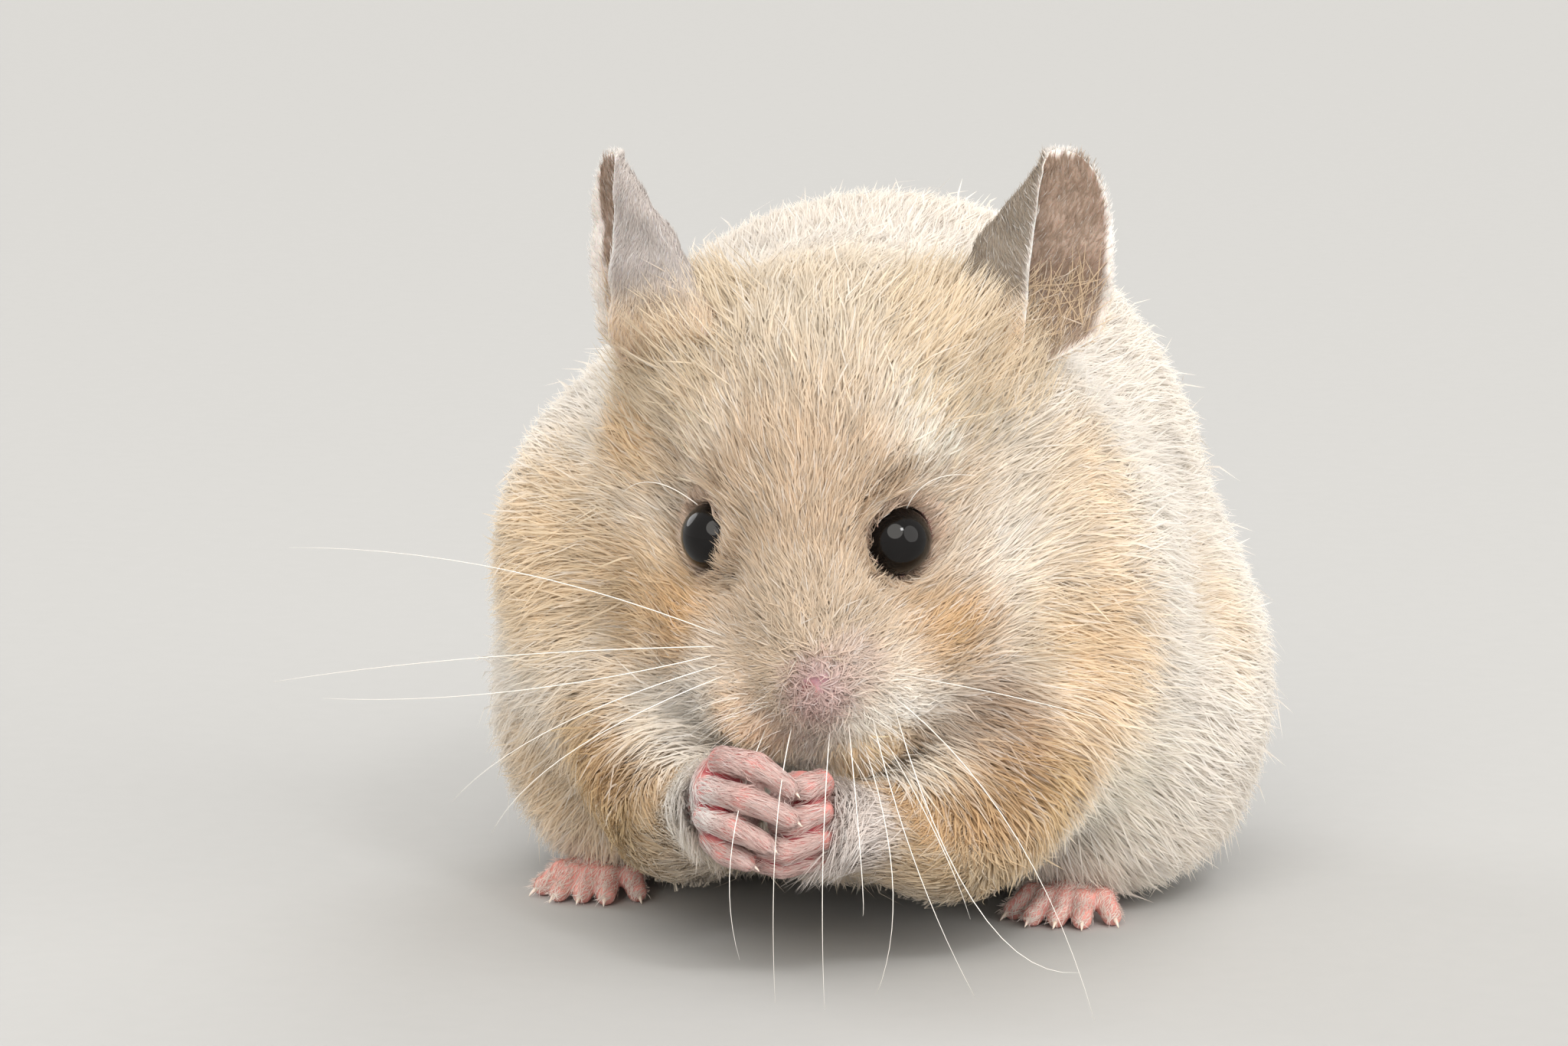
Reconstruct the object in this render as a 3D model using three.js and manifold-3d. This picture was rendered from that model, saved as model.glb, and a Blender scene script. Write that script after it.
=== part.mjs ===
// A Syrian hamster, life size, sitting hunched on the ground with both forepaws held to its mouth.
// Millimetres, +Z up. It faces -Y, its own left is +X, and it rests on z = 0.
// The body is one smooth blend of named rounded masses. Every piece is a sphere, shrunk onto that
// blend from a point inside it and parted from its neighbours along thin curved cuts.
import * as THREE from "three";
import { mergeVertices } from "three/addons/utils/BufferGeometryUtils.js";
import Module from "manifold-3d";

const wasm = await Module();
wasm.setup();

// ---- driving sizes ----
const partingGap = 0.3; // between pieces that touch
const earGap = 0.55; // round the foot of an ear
const floorCut = 0; // height of the flats it rests on

const headPlace = [0.8, -37, 42]; // midway between the eyes
const headPitch = 24; // degrees, nose down
const eyeRadius = 3.35;
const eyeLeft = [8.1, -1.2, -0.7]; // across, forward, up from headPlace, along the head's own axes
const eyeRight = [-9.5, -1.2, -1];

const earTall = 21; // notch to tip
const earThick = 1.3;
const earTip = { left: [22.2, -24.2, 78.2], right: [-20.9, -25.2, 77.2] };
const earTurn = { left: 12, right: 36 }; // degrees outward from straight ahead
const earBack = 8; // degrees backward
const earLean = { left: 0, right: 6 }; // degrees of the tip outward
const earFold = { left: 16.6, right: 20 }; // inward reach of the folded side at the notch
const earDepth = 3; // how far the front edge stands before the fold, and the rear edge behind it

const fingerRadius = 1.25;
const palmRadii = [3.5, 2.8, 4.45];
const toeRadius = 1.15;
const toeReach = 6.4; // how far the middle toes pass their roots
const outerToesShorter = 2.4;
const toeRootsApart = 1.15;
const toeTipsApart = 2.5;
const footLength = 18;
const tailLength = 6;

const degrees = Math.PI / 180;
const vector = (v) => new THREE.Vector3(v[0], v[1], v[2]);

// ---- frames ----
const headTurn = new THREE.Matrix4().makeRotationX(headPitch * degrees);
// across (own left), forward, up on the head -> place in the model
function onHead([across, forward, up]) {
  const p = new THREE.Vector3(across, -forward, up).applyMatrix4(headTurn);
  return p.add(vector(headPlace)).toArray();
}

// ---- rounded masses ----
// An ellipsoid: centre, half sizes and, where it is turned, its own rotation.
function mass(centre, radii, turn = [0, 0, 0]) {
  const back = new THREE.Matrix4()
    .makeRotationFromEuler(new THREE.Euler(turn[0] * degrees, turn[1] * degrees, turn[2] * degrees))
    .invert();
  const c = vector(centre);
  return (p) => {
    const q = p.clone().sub(c).applyMatrix4(back);
    const near = Math.hypot(q.x / radii[0], q.y / radii[1], q.z / radii[2]);
    if (near < 1e-6) return -Math.min(...radii);
    const slope = Math.hypot(q.x / radii[0] ** 2, q.y / radii[1] ** 2, q.z / radii[2] ** 2);
    return (near * (near - 1)) / slope;
  };
}

// A limb length: two balls of their own radii and the cone between them.
function limb(from, to, fromRadius, toRadius) {
  const a = vector(from);
  const along = vector(to).sub(a);
  const length2 = along.lengthSq();
  return (p) => {
    const q = p.clone().sub(a);
    const share = Math.min(1, Math.max(0, q.dot(along) / length2));
    return q.addScaledVector(along, -share).length() - (fromRadius + (toRadius - fromRadius) * share);
  };
}

// All masses as one skin: each pair of neighbours flows together over the given width.
function blend(masses, width) {
  return (p) => {
    let level = Infinity;
    for (const m of masses) {
      const d = m(p);
      const share = Math.max(width - Math.abs(level - d), 0) / width;
      level = Math.min(level, d) - (share * share * width) / 4;
    }
    return level;
  };
}

const headMass = (place, radii) => mass(onHead(place), radii, [headPitch, 0, 0]);

const trunkMasses = [
  mass([-1.5, 12, 35.2], [33.5, 33, 34.8]), // barrel of the body
  mass([-1.5, 20, 23.2], [34.5, 28, 22.6]), // rump
  mass([-24.5, 7, 18.4], [16.5, 25, 18.8]), // right flank over the thigh
  mass([22, 7, 18.4], [17, 25, 18.8]), // left flank over the thigh
  mass([-19.5, -10, 35.5], [17.5, 18, 20]), // right shoulder
  mass([15.5, -12, 34.5], [16.5, 18, 19.5]), // left shoulder
  mass([0.5, -17, 20.5], [20, 17.5, 16]), // chest
  mass([0, -11.5, 46.8], [22.5, 20.5, 21.2]), // nape
  mass([-13, -27.5, 19], [10, 10.5, 10.5]), // right side of the breast
  mass([14, -27.5, 18], [10.5, 10.5, 11]), // left side of the breast
];
const headMasses = [
  headMass([0, -13, 6], [17, 14.5, 14.8]), // braincase
  headMass([-0.3, -4.5, 1.5], [9.3, 9.4, 9.2]), // forehead
  headMass([0.8, 2.8, -5.6], [7.2, 8.2, 6]), // bridge of the nose
  headMass([-4.4, 6.4, -13.8], [5.8, 6, 6.4]), // right whisker pad
  headMass([5.2, 6.8, -13.8], [6.6, 6.2, 7]), // left whisker pad
  headMass([2.2, 11.2, -9.6], [2, 2, 1.8]), // nose
  headMass([2.2, 4.6, -20], [4.8, 5.4, 4.2]), // chin
  headMass([-11, -8, -9], [6.8, 9, 9.6]), // right cheek
  headMass([12, -8, -9], [7.4, 9, 9.8]), // left cheek
  headMass([-9, -0.6, -12.6], [7, 7.8, 7.6]), // right jowl
  headMass([10.6, -0.4, -12.6], [8, 8, 8.2]), // left jowl
  headMass([-12.5, -11.5, 13], [5.2, 5.2, 5.2]), // fur round the foot of the right ear
  headMass([12, -14.5, 12.8], [5.3, 5.3, 5.3]), // fur round the foot of the left ear
  headMass([-15.5, -16, 1], [6.5, 9, 11]), // right side of the ruff
  headMass([16, -17, 1], [7, 9, 11]), // left side of the ruff
];
const limbMasses = [
  limb([-20, -16, 24], [-14, -29, 14], 9.5, 6.5), // right upper arm
  limb([19, -16, 24], [14, -29, 14], 9.5, 6.5), // left upper arm
  limb([-13, -32, 13.4], [-7.2, -43, 16.8], 5.2, 3.4), // right forearm
  limb([12, -33, 12.6], [4.6, -43, 15.6], 5.2, 3.4), // left forearm
];

const bodyBlend = blend([blend(trunkMasses, 9), blend(limbMasses, 3)], 7);
const headBlend = blend(headMasses, 6);

// The head flows into the body over 3 mm under the chin, and over 9 mm at the nape.
const chinY = -42;
const napeY = -26;
const unsocketed = (p) => {
  const back = Math.min(1, Math.max(0, (p.y - chinY) / (napeY - chinY)));
  const width = 3 + 6 * back * back * (3 - 2 * back);
  return blend([bodyBlend, headBlend], width)(p);
};

// Each eye stands in a shallow bowl, open outward, forward and up.
const bowls = [[eyeLeft, 1], [eyeRight, -1]].map(([eye, side]) =>
  limb(
    onHead([eye[0] + side * 0.3, eye[1] + 1.4, eye[2] + 0.5]),
    onHead([eye[0] + side * 4, eye[1] + 5.5, eye[2] + 2]),
    eyeRadius * 1.03,
    eyeRadius * 1.32,
  ),
);
const whole = (p) => Math.max(unsocketed(p), ...bowls.map((bowl) => -bowl(p)));

// ---- solids ----
const farthest = 90; // no ray from inside the body is longer

function solidOf(geometry) {
  geometry.deleteAttribute("normal");
  geometry.deleteAttribute("uv");
  const merged = mergeVertices(geometry, 1e-4);
  const vertProperties = new Float32Array(merged.getAttribute("position").array);
  const triVerts = new Uint32Array(merged.index.array);
  return new wasm.Manifold(new wasm.Mesh({ numProp: 3, vertProperties, triVerts }));
}

// A sphere drawn in, along rays from its centre, onto the outside of a blend.
function shrunk(skin, centre, stretch, detail) {
  const geometry = new THREE.IcosahedronGeometry(1, detail);
  const place = geometry.getAttribute("position");
  const c = vector(centre);
  const found = new Map();
  for (let i = 0; i < place.count; i++) {
    const ray = new THREE.Vector3().fromBufferAttribute(place, i);
    const key = ray.toArray().map((n) => Math.round(n * 1e4)).join();
    if (!found.has(key)) {
      ray.multiply(vector(stretch)).normalize();
      let inside = 0;
      let outside = 0;
      while (outside < farthest) {
        outside += 0.9;
        if (skin(c.clone().addScaledVector(ray, outside)) > 0) break;
        inside = outside;
      }
      for (let step = 0; step < 14; step++) {
        const middle = (inside + outside) / 2;
        if (skin(c.clone().addScaledVector(ray, middle)) > 0) outside = middle;
        else inside = middle;
      }
      found.set(key, c.clone().addScaledVector(ray, inside));
    }
    place.setXYZ(i, ...found.get(key).toArray());
  }
  return solidOf(geometry);
}

// A plain ellipsoid, for the curved cuts, the eyes and the palms.
function ball(centre, radii, turn = [0, 0, 0], detail = 2) {
  const geometry = new THREE.IcosahedronGeometry(1, detail);
  geometry.scale(...radii);
  geometry.applyMatrix4(
    new THREE.Matrix4().makeRotationFromEuler(
      new THREE.Euler(turn[0] * degrees, turn[1] * degrees, turn[2] * degrees),
    ),
  );
  geometry.translate(...centre);
  return solidOf(geometry);
}

// Finger, toe or tail: round-ended cones through a row of points.
function fingerOf(points, radii, grow = 0, sides = 5) {
  let made = null;
  for (let i = 0; i + 1 < points.length; i++) {
    const a = vector(points[i]);
    const b = vector(points[i + 1]);
    const length = a.distanceTo(b);
    const ra = radii[i] + grow;
    const rb = radii[i + 1] + grow;
    const profile = [new THREE.Vector2(0, -ra)];
    profile.push(new THREE.Vector2(ra * 0.9, -ra * 0.43));
    profile.push(new THREE.Vector2(rb * 0.9, length + rb * 0.43));
    profile.push(new THREE.Vector2(0, length + rb));
    const geometry = new THREE.LatheGeometry(profile, sides);
    const turn = new THREE.Quaternion().setFromUnitVectors(
      new THREE.Vector3(0, 1, 0),
      b.clone().sub(a).normalize(),
    );
    geometry.applyQuaternion(turn);
    geometry.translate(a.x, a.y, a.z);
    const piece = solidOf(geometry);
    made = made ? made.add(piece) : piece;
  }
  return made;
}

const box = (size, centre) => {
  const geometry = new THREE.BoxGeometry(...size);
  geometry.translate(...centre);
  return solidOf(geometry);
};
const belowFloor = box([300, 300, 100], [0, 0, floorCut - 50]);

// ---- head, neck and trunk ----
const wholeFromTrunk = shrunk(whole, [-1.5, 8, 32], [1, 1.05, 0.95], 4);
const wholeFromHead = shrunk(whole, onHead([0, -8, -1]), [1, 1, 1.15], 6);
const wholeFromNeck = shrunk(whole, onHead([0, -8, -1]), [1, 1, 1.15], 4);

const headRegion = (grow) =>
  ball(onHead([0, -3.5, -0.5]), [26 + grow, 17 + grow, 27 + grow], [headPitch, 0, 0]).add(
    ball(onHead([1, 6.5, -12]), [13 + grow, 12.5 + grow, 13.5 + grow], [headPitch, 0, 0]),
  );
const neckRegion = (grow) =>
  ball(onHead([0, -10, -2]), [34 + grow, 20.5 + grow, 31 + grow], [headPitch, 0, 0]);

// ---- eyes ----
const eyeAt = { left: onHead(eyeLeft), right: onHead(eyeRight) };
const eyeSolid = (side, grow) =>
  ball(eyeAt[side], Array(3).fill(eyeRadius + grow), [0, 0, 0], 2);

// ---- ears: a leaf folded lengthwise, open to the side ----
// Its three edges at a height from 0, the notch, to 1, the tip: millimetres outward from the tip.
function earEdges(up, reach) {
  const down = 1 - up;
  const front = -3.9 * down ** 0.4;
  const fold = -reach * down;
  const rear = 5.1 * Math.sqrt(Math.max(0, 1 - Math.abs(2 * up - 1) ** 2.6)) - 0.6 * down ** 4;
  const spread = earDepth * Math.sqrt(down);
  const bend = fold - Math.sqrt(Math.max(0, (fold - front) * (fold - rear)));
  return [[front, -spread], [Math.min(bend, front), spread * 0.5], [rear, spread]];
}

function earSolid(which, grow = 0) {
  const sign = which === "left" ? 1 : -1;
  const geometry = new THREE.SphereGeometry(1, 18, 8);
  const place = geometry.getAttribute("position");
  for (let i = 0; i < place.count; i++) {
    const up = Math.min(1, Math.max(0, (place.getY(i) + 1) / 2));
    const girth = Math.sqrt(Math.max(0, 1 - (2 * up - 1) ** 2));
    const across = girth > 0.02 ? place.getX(i) / girth : 0;
    const t = (across + 1) / 2;
    const [front, bend, rear] = earEdges(up, earFold[which]);
    const along = [0, 1].map(
      (k) => (1 - t) ** 2 * front[k] + 2 * t * (1 - t) * bend[k] + t ** 2 * rear[k],
    );
    const slope = [0, 1].map((k) => (1 - t) * (bend[k] - front[k]) + t * (rear[k] - bend[k]));
    const steep = Math.hypot(...slope) || 1;
    const half = (earThick / 2) * (1.5 - 0.6 * up) + grow;
    const edge = girth > 0.02 ? half * across : 0;
    const face = girth > 0.02 ? (half * place.getZ(i)) / girth : 0;
    const narrow = Math.min(1, up / 0.15) ** 0.5; // the root draws together inside the head
    const past = up < 0.01 ? -grow : up > 0.99 ? grow : 0;
    const x = -4 + (along[0] + 4) * narrow + (edge * slope[0] - face * slope[1]) / steep;
    const y = along[1] * narrow + (edge * slope[1] + face * slope[0]) / steep;
    place.setXYZ(i, x * sign, y, earTall * (up - 1) + past);
  }
  if (sign > 0) {
    // the mirror turns every face round, so the other ear is turned back
    const index = geometry.index;
    for (let i = 0; i < index.count; i += 3) {
      const keep = index.getX(i);
      index.setX(i, index.getX(i + 2));
      index.setX(i + 2, keep);
    }
  }
  geometry.rotateX(-earBack * degrees);
  geometry.rotateY(sign * earLean[which] * degrees);
  geometry.rotateZ(sign * earTurn[which] * degrees);
  geometry.translate(...earTip[which]);
  return solidOf(geometry);
}

// ---- forepaws ----
const paws = {
  right: {
    palm: [-5.4, -45.6, 18.4],
    turn: [0, 0, 12],
    fingers: [
      [[-5.4, -47.4, 22.2], [-1.6, -49.6, 22.2], [1.4, -49.8, 20.4]],
      [[-6.4, -48, 19.4], [-2.4, -50.6, 19.2], [1.6, -50.4, 17.6]],
      [[-6.8, -47.8, 16.8], [-3.6, -50.2, 16.4], [-0.8, -50, 15]],
      [[-6.4, -47, 14.6], [-4.8, -48.6, 13.8], [-2.8, -48.8, 12.9]],
    ],
  },
  left: {
    palm: [1.6, -44.6, 16.6],
    turn: [0, 0, -14],
    fingers: [
      [[3.8, -46.6, 20.2], [2.8, -47.6, 20], [1.8, -47.6, 19.6]],
      [[3.9, -47.2, 17.6], [1.8, -48.4, 16.8], [0, -47.8, 16.4]],
      [[3.8, -47.2, 15.2], [1, -48.3, 14.1], [-1.4, -47.6, 13.8]],
      [[3.2, -46, 13.2], [0.2, -46.9, 12.4], [-2.2, -46.4, 12.4]],
    ],
  },
};
const fingerRadii = [fingerRadius * 1.15, fingerRadius, fingerRadius * 0.72];
function pawSolid(side, grow = 0) {
  const { palm, turn, fingers } = paws[side];
  let made = ball(palm, palmRadii.map((r) => r + grow), turn, 1);
  for (const points of fingers) made = made.add(fingerOf(points, fingerRadii, grow));
  return made;
}

// ---- hind feet ----
const feet = {
  left: { heel: [22, 3, 2.2], toesTo: [21, -13.6, 1.2] },
  right: { heel: [-26, 4, 2.2], toesTo: [-27.5, -11.6, 1.2] },
};
function footSolid(side, grow = 0) {
  const { heel, toesTo } = feet[side];
  const forward = vector(toesTo).sub(vector(heel)).normalize();
  const across = new THREE.Vector3(-forward.y, forward.x, 0).normalize();
  const root = vector(heel).addScaledVector(forward, footLength - 7.5);
  let made = ball(
    vector(heel).addScaledVector(forward, 5).setZ(2.6).toArray(),
    [3.6 + grow, 8.4 + grow, 2.9 + grow],
    [0, 0, (Math.atan2(-forward.x, forward.y) * 180) / Math.PI],
    1,
  );
  for (let toe = -2; toe <= 2; toe++) {
    const short = Math.abs(toe) === 2 ? outerToesShorter : 0;
    const from = root.clone().addScaledVector(across, toe * toeRootsApart).setZ(2);
    const tip = root.clone().addScaledVector(across, toe * toeTipsApart)
      .addScaledVector(forward, toeReach - short).setZ(0.75);
    made = made.add(
      fingerOf(
        [from.toArray(), tip.toArray()],
        [toeRadius * 1.2, toeRadius * 0.85],
        grow,
        5,
      ),
    );
  }
  return made;
}

const tailPoints = [[-1.5, 42, 9], [-1.2, 47, 6], [0.2, 47 + tailLength * 0.6, 4.2]];
const tailRadii = [3.6, 2.6, 1.5];

// ---- regions of the limbs ----
const thighRegion = (side, grow) => {
  const x = side === "left" ? 31 : -33.5;
  return ball([x, 8, 12], [16 + grow, 22 + grow, 16 + grow], [0, 0, side === "left" ? -6 : 6]);
};
const upperArmRegion = (side, grow) => {
  const x = side === "left" ? 19 : -20.5;
  return ball([x, -24, 17], [9.5 + grow, 12 + grow, 13 + grow], [0, 0, side === "left" ? -14 : 14]);
};
const forearmRegion = (side, grow) => {
  const x = side === "left" ? 7.8 : -10.4;
  return ball([x, -39, 15], [8 + grow, 9.5 + grow, 8.5 + grow], [0, 0, side === "left" ? -40 : 40]);
};

// ---- parting the body ----
const gap = partingGap;
const sides = ["left", "right"];
const cuts = {
  eyes: eyeSolid("left", gap).add(eyeSolid("right", gap)),
  ears: earSolid("left", earGap).add(earSolid("right", earGap)),
  paws: pawSolid("left", gap).add(pawSolid("right", gap)),
  feet: footSolid("left", gap).add(footSolid("right", gap)),
};
const pieces = {};
pieces.head = wholeFromHead
  .intersect(headRegion(0))
  .subtract(cuts.eyes)
  .subtract(cuts.ears)
  .subtract(cuts.paws);
pieces.neck = wholeFromNeck
  .intersect(neckRegion(0))
  .subtract(headRegion(gap))
  .subtract(cuts.ears);
let trunk = wholeFromTrunk
  .subtract(neckRegion(gap))
  .subtract(headRegion(gap))
  .subtract(ball([-1.5, -47, 17], [10, 6.5, 8], [0, 0, 0], 1)) // room for both paws
  .subtract(cuts.feet);
for (const side of sides) {
  const forearm = forearmRegion(side, 0);
  const inForearm = side === "left" ? [9.4, -37, 13.8] : [-10.4, -36.5, 14.9];
  const inUpperArm = side === "left" ? [17, -25, 18] : [-18.5, -25, 18];
  const wholeFromForearm = shrunk(whole, inForearm, [1, 1, 1], 2);
  const wholeFromUpperArm = shrunk(whole, inUpperArm, [1, 1, 1], 2);
  pieces["forearm_" + side] = wholeFromForearm
    .intersect(forearm)
    .subtract(headRegion(gap))
    .subtract(neckRegion(gap))
    .subtract(cuts.paws);
  pieces["upper_arm_" + side] = wholeFromUpperArm
    .intersect(upperArmRegion(side, 0))
    .subtract(forearmRegion(side, gap))
    .subtract(headRegion(gap))
    .subtract(neckRegion(gap));
  pieces["thigh_" + side] = wholeFromTrunk
    .intersect(thighRegion(side, 0))
    .subtract(upperArmRegion(side, gap))
    .subtract(neckRegion(gap))
    .subtract(cuts.feet);
  trunk = trunk
    .subtract(forearmRegion(side, gap))
    .subtract(upperArmRegion(side, gap))
    .subtract(thighRegion(side, gap));
  pieces["forepaw_" + side] = pawSolid(side);
  pieces["hind_foot_" + side] = footSolid(side);
  pieces["ear_" + side] = earSolid(side);
  pieces["eye_" + side] = eyeSolid(side, 0);
}
pieces.forepaw_left = pieces.forepaw_left.subtract(pawSolid("right", gap));
pieces.trunk = trunk.subtract(fingerOf(tailPoints, tailRadii, gap));
pieces.tail = fingerOf(tailPoints, tailRadii);

// ---- scene graph ----
const creamFur = new THREE.MeshStandardMaterial({ color: 0xeed9bd, roughness: 0.9, metalness: 0 });
const goldenFur = new THREE.MeshStandardMaterial({ color: 0xddb887, roughness: 0.9, metalness: 0 });
const pinkSkin = new THREE.MeshStandardMaterial({ color: 0xe3a39b, roughness: 0.6, metalness: 0 });
const earSkin = new THREE.MeshStandardMaterial({ color: 0xb49c92, roughness: 0.7, metalness: 0 });
const eyeGloss = new THREE.MeshStandardMaterial({ color: 0x0d0d10, roughness: 0.06, metalness: 0 });
const looks = {
  head: goldenFur,
  ear_left: earSkin, ear_right: earSkin,
  eye_left: eyeGloss, eye_right: eyeGloss,
  forepaw_left: pinkSkin, forepaw_right: pinkSkin,
  hind_foot_left: pinkSkin, hind_foot_right: pinkSkin,
  tail: pinkSkin,
};

const hamster = new THREE.Group();
for (const [name, solid] of Object.entries(pieces)) {
  const body = solid.subtract(belowFloor).decompose().sort((a, b) => b.volume() - a.volume())[0];
  const { numProp, vertProperties, triVerts } = body.getMesh();
  const points = new Float32Array((vertProperties.length / numProp) * 3);
  for (let i = 0; i < points.length / 3; i++) {
    points.set(vertProperties.subarray(i * numProp, i * numProp + 3), i * 3);
  }
  const geometry = new THREE.BufferGeometry()
    .setAttribute("position", new THREE.BufferAttribute(points, 3))
    .setIndex(new THREE.BufferAttribute(triVerts, 1));
  geometry.computeVertexNormals();
  const mesh = new THREE.Mesh(geometry, looks[name] ?? creamFur);
  mesh.name = name;
  hamster.add(mesh);
}

// The origin is on the ground, under the middle of the body's outline.
const extent = new THREE.Box3().setFromObject(hamster);
const middle = extent.getCenter(new THREE.Vector3());
hamster.position.set(-middle.x, -middle.y, -extent.min.z);

export default hamster;
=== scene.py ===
import math
import time

import bpy
import numpy as np
from mathutils import Matrix, Vector, kdtree


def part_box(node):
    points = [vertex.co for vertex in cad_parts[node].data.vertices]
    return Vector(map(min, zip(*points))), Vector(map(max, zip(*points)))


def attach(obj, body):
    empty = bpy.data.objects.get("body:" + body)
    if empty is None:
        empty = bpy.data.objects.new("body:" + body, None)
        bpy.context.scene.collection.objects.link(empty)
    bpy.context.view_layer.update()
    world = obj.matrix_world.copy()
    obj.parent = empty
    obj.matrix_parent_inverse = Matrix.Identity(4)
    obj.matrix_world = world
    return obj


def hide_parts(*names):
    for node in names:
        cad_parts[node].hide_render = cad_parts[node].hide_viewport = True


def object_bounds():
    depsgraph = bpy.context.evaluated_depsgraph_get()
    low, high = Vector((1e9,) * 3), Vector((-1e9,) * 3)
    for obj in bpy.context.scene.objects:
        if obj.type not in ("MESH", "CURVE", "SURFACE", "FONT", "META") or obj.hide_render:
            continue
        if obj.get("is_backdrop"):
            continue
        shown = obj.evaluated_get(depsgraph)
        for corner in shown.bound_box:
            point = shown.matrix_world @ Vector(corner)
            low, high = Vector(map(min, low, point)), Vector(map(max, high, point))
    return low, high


# A Syrian hamster, life size, hunched on the ground with both forepaws held to its mouth.
# One skin carries solid tufts of fur. Eyes, claws and whiskers are pieces of their own.
# Sizes are in millimetres: it faces -Y, its own left is +X, and it rests on z = 0.

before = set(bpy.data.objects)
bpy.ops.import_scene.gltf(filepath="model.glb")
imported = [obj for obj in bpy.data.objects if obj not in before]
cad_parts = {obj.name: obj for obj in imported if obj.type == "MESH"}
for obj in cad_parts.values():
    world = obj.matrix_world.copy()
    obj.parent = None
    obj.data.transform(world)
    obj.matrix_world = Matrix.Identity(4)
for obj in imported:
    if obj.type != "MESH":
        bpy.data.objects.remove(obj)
cadBox = [list(corner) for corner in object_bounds()]
began = time.perf_counter()
draw = np.random.default_rng(29)


def report(stage):
    print(f"{time.perf_counter() - began:6.1f} s  {stage}", flush=True)


head = {
    "place": (0.8, -37, 42),      # midway between the eyes
    "pitch": 24,                  # degrees, nose down
    "eyeRadius": 3.35,
    "eyes": {"left": (8.1, -1.2, -0.7), "right": (-9.5, -1.2, -1)},  # across, forward, up on the head
    "eyesFace": {"left": (7, 5.4, 2.4), "right": (-7, 4.2, 2.4)},
    "noseTip": (2.6, 13.7, -7.8),
}
tilt = math.radians(head["pitch"])
headAxes = np.array([
    [1, 0, 0],
    [0, -math.cos(tilt), -math.sin(tilt)],
    [0, -math.sin(tilt), math.cos(tilt)],
])  # across, forward, up


def unit(v):
    return v / np.maximum(np.linalg.norm(v, axis=-1, keepdims=True), 1e-9)


def onHead(place):
    return np.array(head["place"]) + np.array(place, float) @ headAxes


def toHead(points):
    return (points - np.array(head["place"])) @ headAxes.T


eyePlaces = {side: onHead(place) for side, place in head["eyes"].items()}
eyeAxes = {side: unit(np.array(way, float) @ headAxes) for side, way in head["eyesFace"].items()}

lowEye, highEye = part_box("eye_left")
shift = 500 * (np.array(lowEye) + np.array(highEye)) - eyePlaces["left"]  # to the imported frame
shift[2] = 0

# The masses of the body out to the tips of its coat: centre and half sizes.
trunkMasses = [
    ((-1.5, 12, 35.2), (33.5, 33, 34.8)),     # barrel of the body
    ((-1.5, 20, 23.2), (34.5, 28, 22.6)),     # rump
    ((-24.5, 7, 18.4), (16.5, 25, 18.8)),     # right flank over the thigh
    ((22, 7, 18.4), (17, 25, 18.8)),          # left flank over the thigh
    ((-19.5, -10, 35.5), (17.5, 18, 20)),     # right shoulder
    ((15.5, -12, 34.5), (16.5, 18, 19.5)),    # left shoulder
    ((0.5, -17, 20.5), (20, 17.5, 16)),       # chest
    ((0, -11.5, 46.8), (22.5, 20.5, 21.2)),   # nape
    ((-13, -27.5, 19), (10, 10.5, 10.5)),     # right side of the breast
    ((14, -27.5, 18), (10.5, 10.5, 11)),      # left side of the breast
]
headMasses = [
    ((0, -13, 6), (17, 14.5, 14.8)),          # braincase
    ((-0.3, -4.5, 1.5), (9.3, 9.4, 9.2)),     # forehead
    ((0.8, 2.8, -5.6), (7.2, 8.2, 6)),        # bridge of the nose
    ((-4.4, 6.4, -13.8), (5.8, 6, 6.4)),      # right whisker pad
    ((5.2, 6.8, -13.8), (6.6, 6.2, 7)),       # left whisker pad
    ((2.2, 11.2, -9.6), (2, 2, 1.8)),         # nose
    ((2.2, 4.6, -20), (4.8, 5.4, 4.2)),       # chin
    ((-11, -8, -9), (6.8, 9, 9.6)),           # right cheek
    ((12, -8, -9), (7.4, 9, 9.8)),            # left cheek
    ((-9, -0.6, -12.6), (7, 7.8, 7.6)),       # right jowl
    ((10.6, -0.4, -12.6), (8, 8, 8.2)),       # left jowl
    ((-12.5, -11.5, 13), (5.2, 5.2, 5.2)),    # fur round the foot of the right ear
    ((12, -14.5, 12.8), (5.3, 5.3, 5.3)),     # fur round the foot of the left ear
    ((-15.5, -16, 1), (6.5, 9, 11)),          # right side of the ruff
    ((16, -17, 1), (7, 9, 11)),               # left side of the ruff
]
limbMasses = [
    ((-20, -16, 24), (-14, -29, 14), 9.5, 6.5),       # right upper arm
    ((19, -16, 24), (14, -29, 14), 9.5, 6.5),         # left upper arm
    ((-13, -32, 13.4), (-7.2, -43, 16.8), 5.2, 3.4),  # right forearm
    ((12, -33, 12.6), (4.6, -43, 15.6), 5.2, 3.4),    # left forearm
]
forearms = limbMasses[2:]
tailMasses = [
    ((-1.5, 42, 9), (-1.2, 47, 6), 3.6, 2.6),
    ((-1.2, 47, 6), (0.2, 50.6, 4.2), 2.6, 1.5),
]
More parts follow.
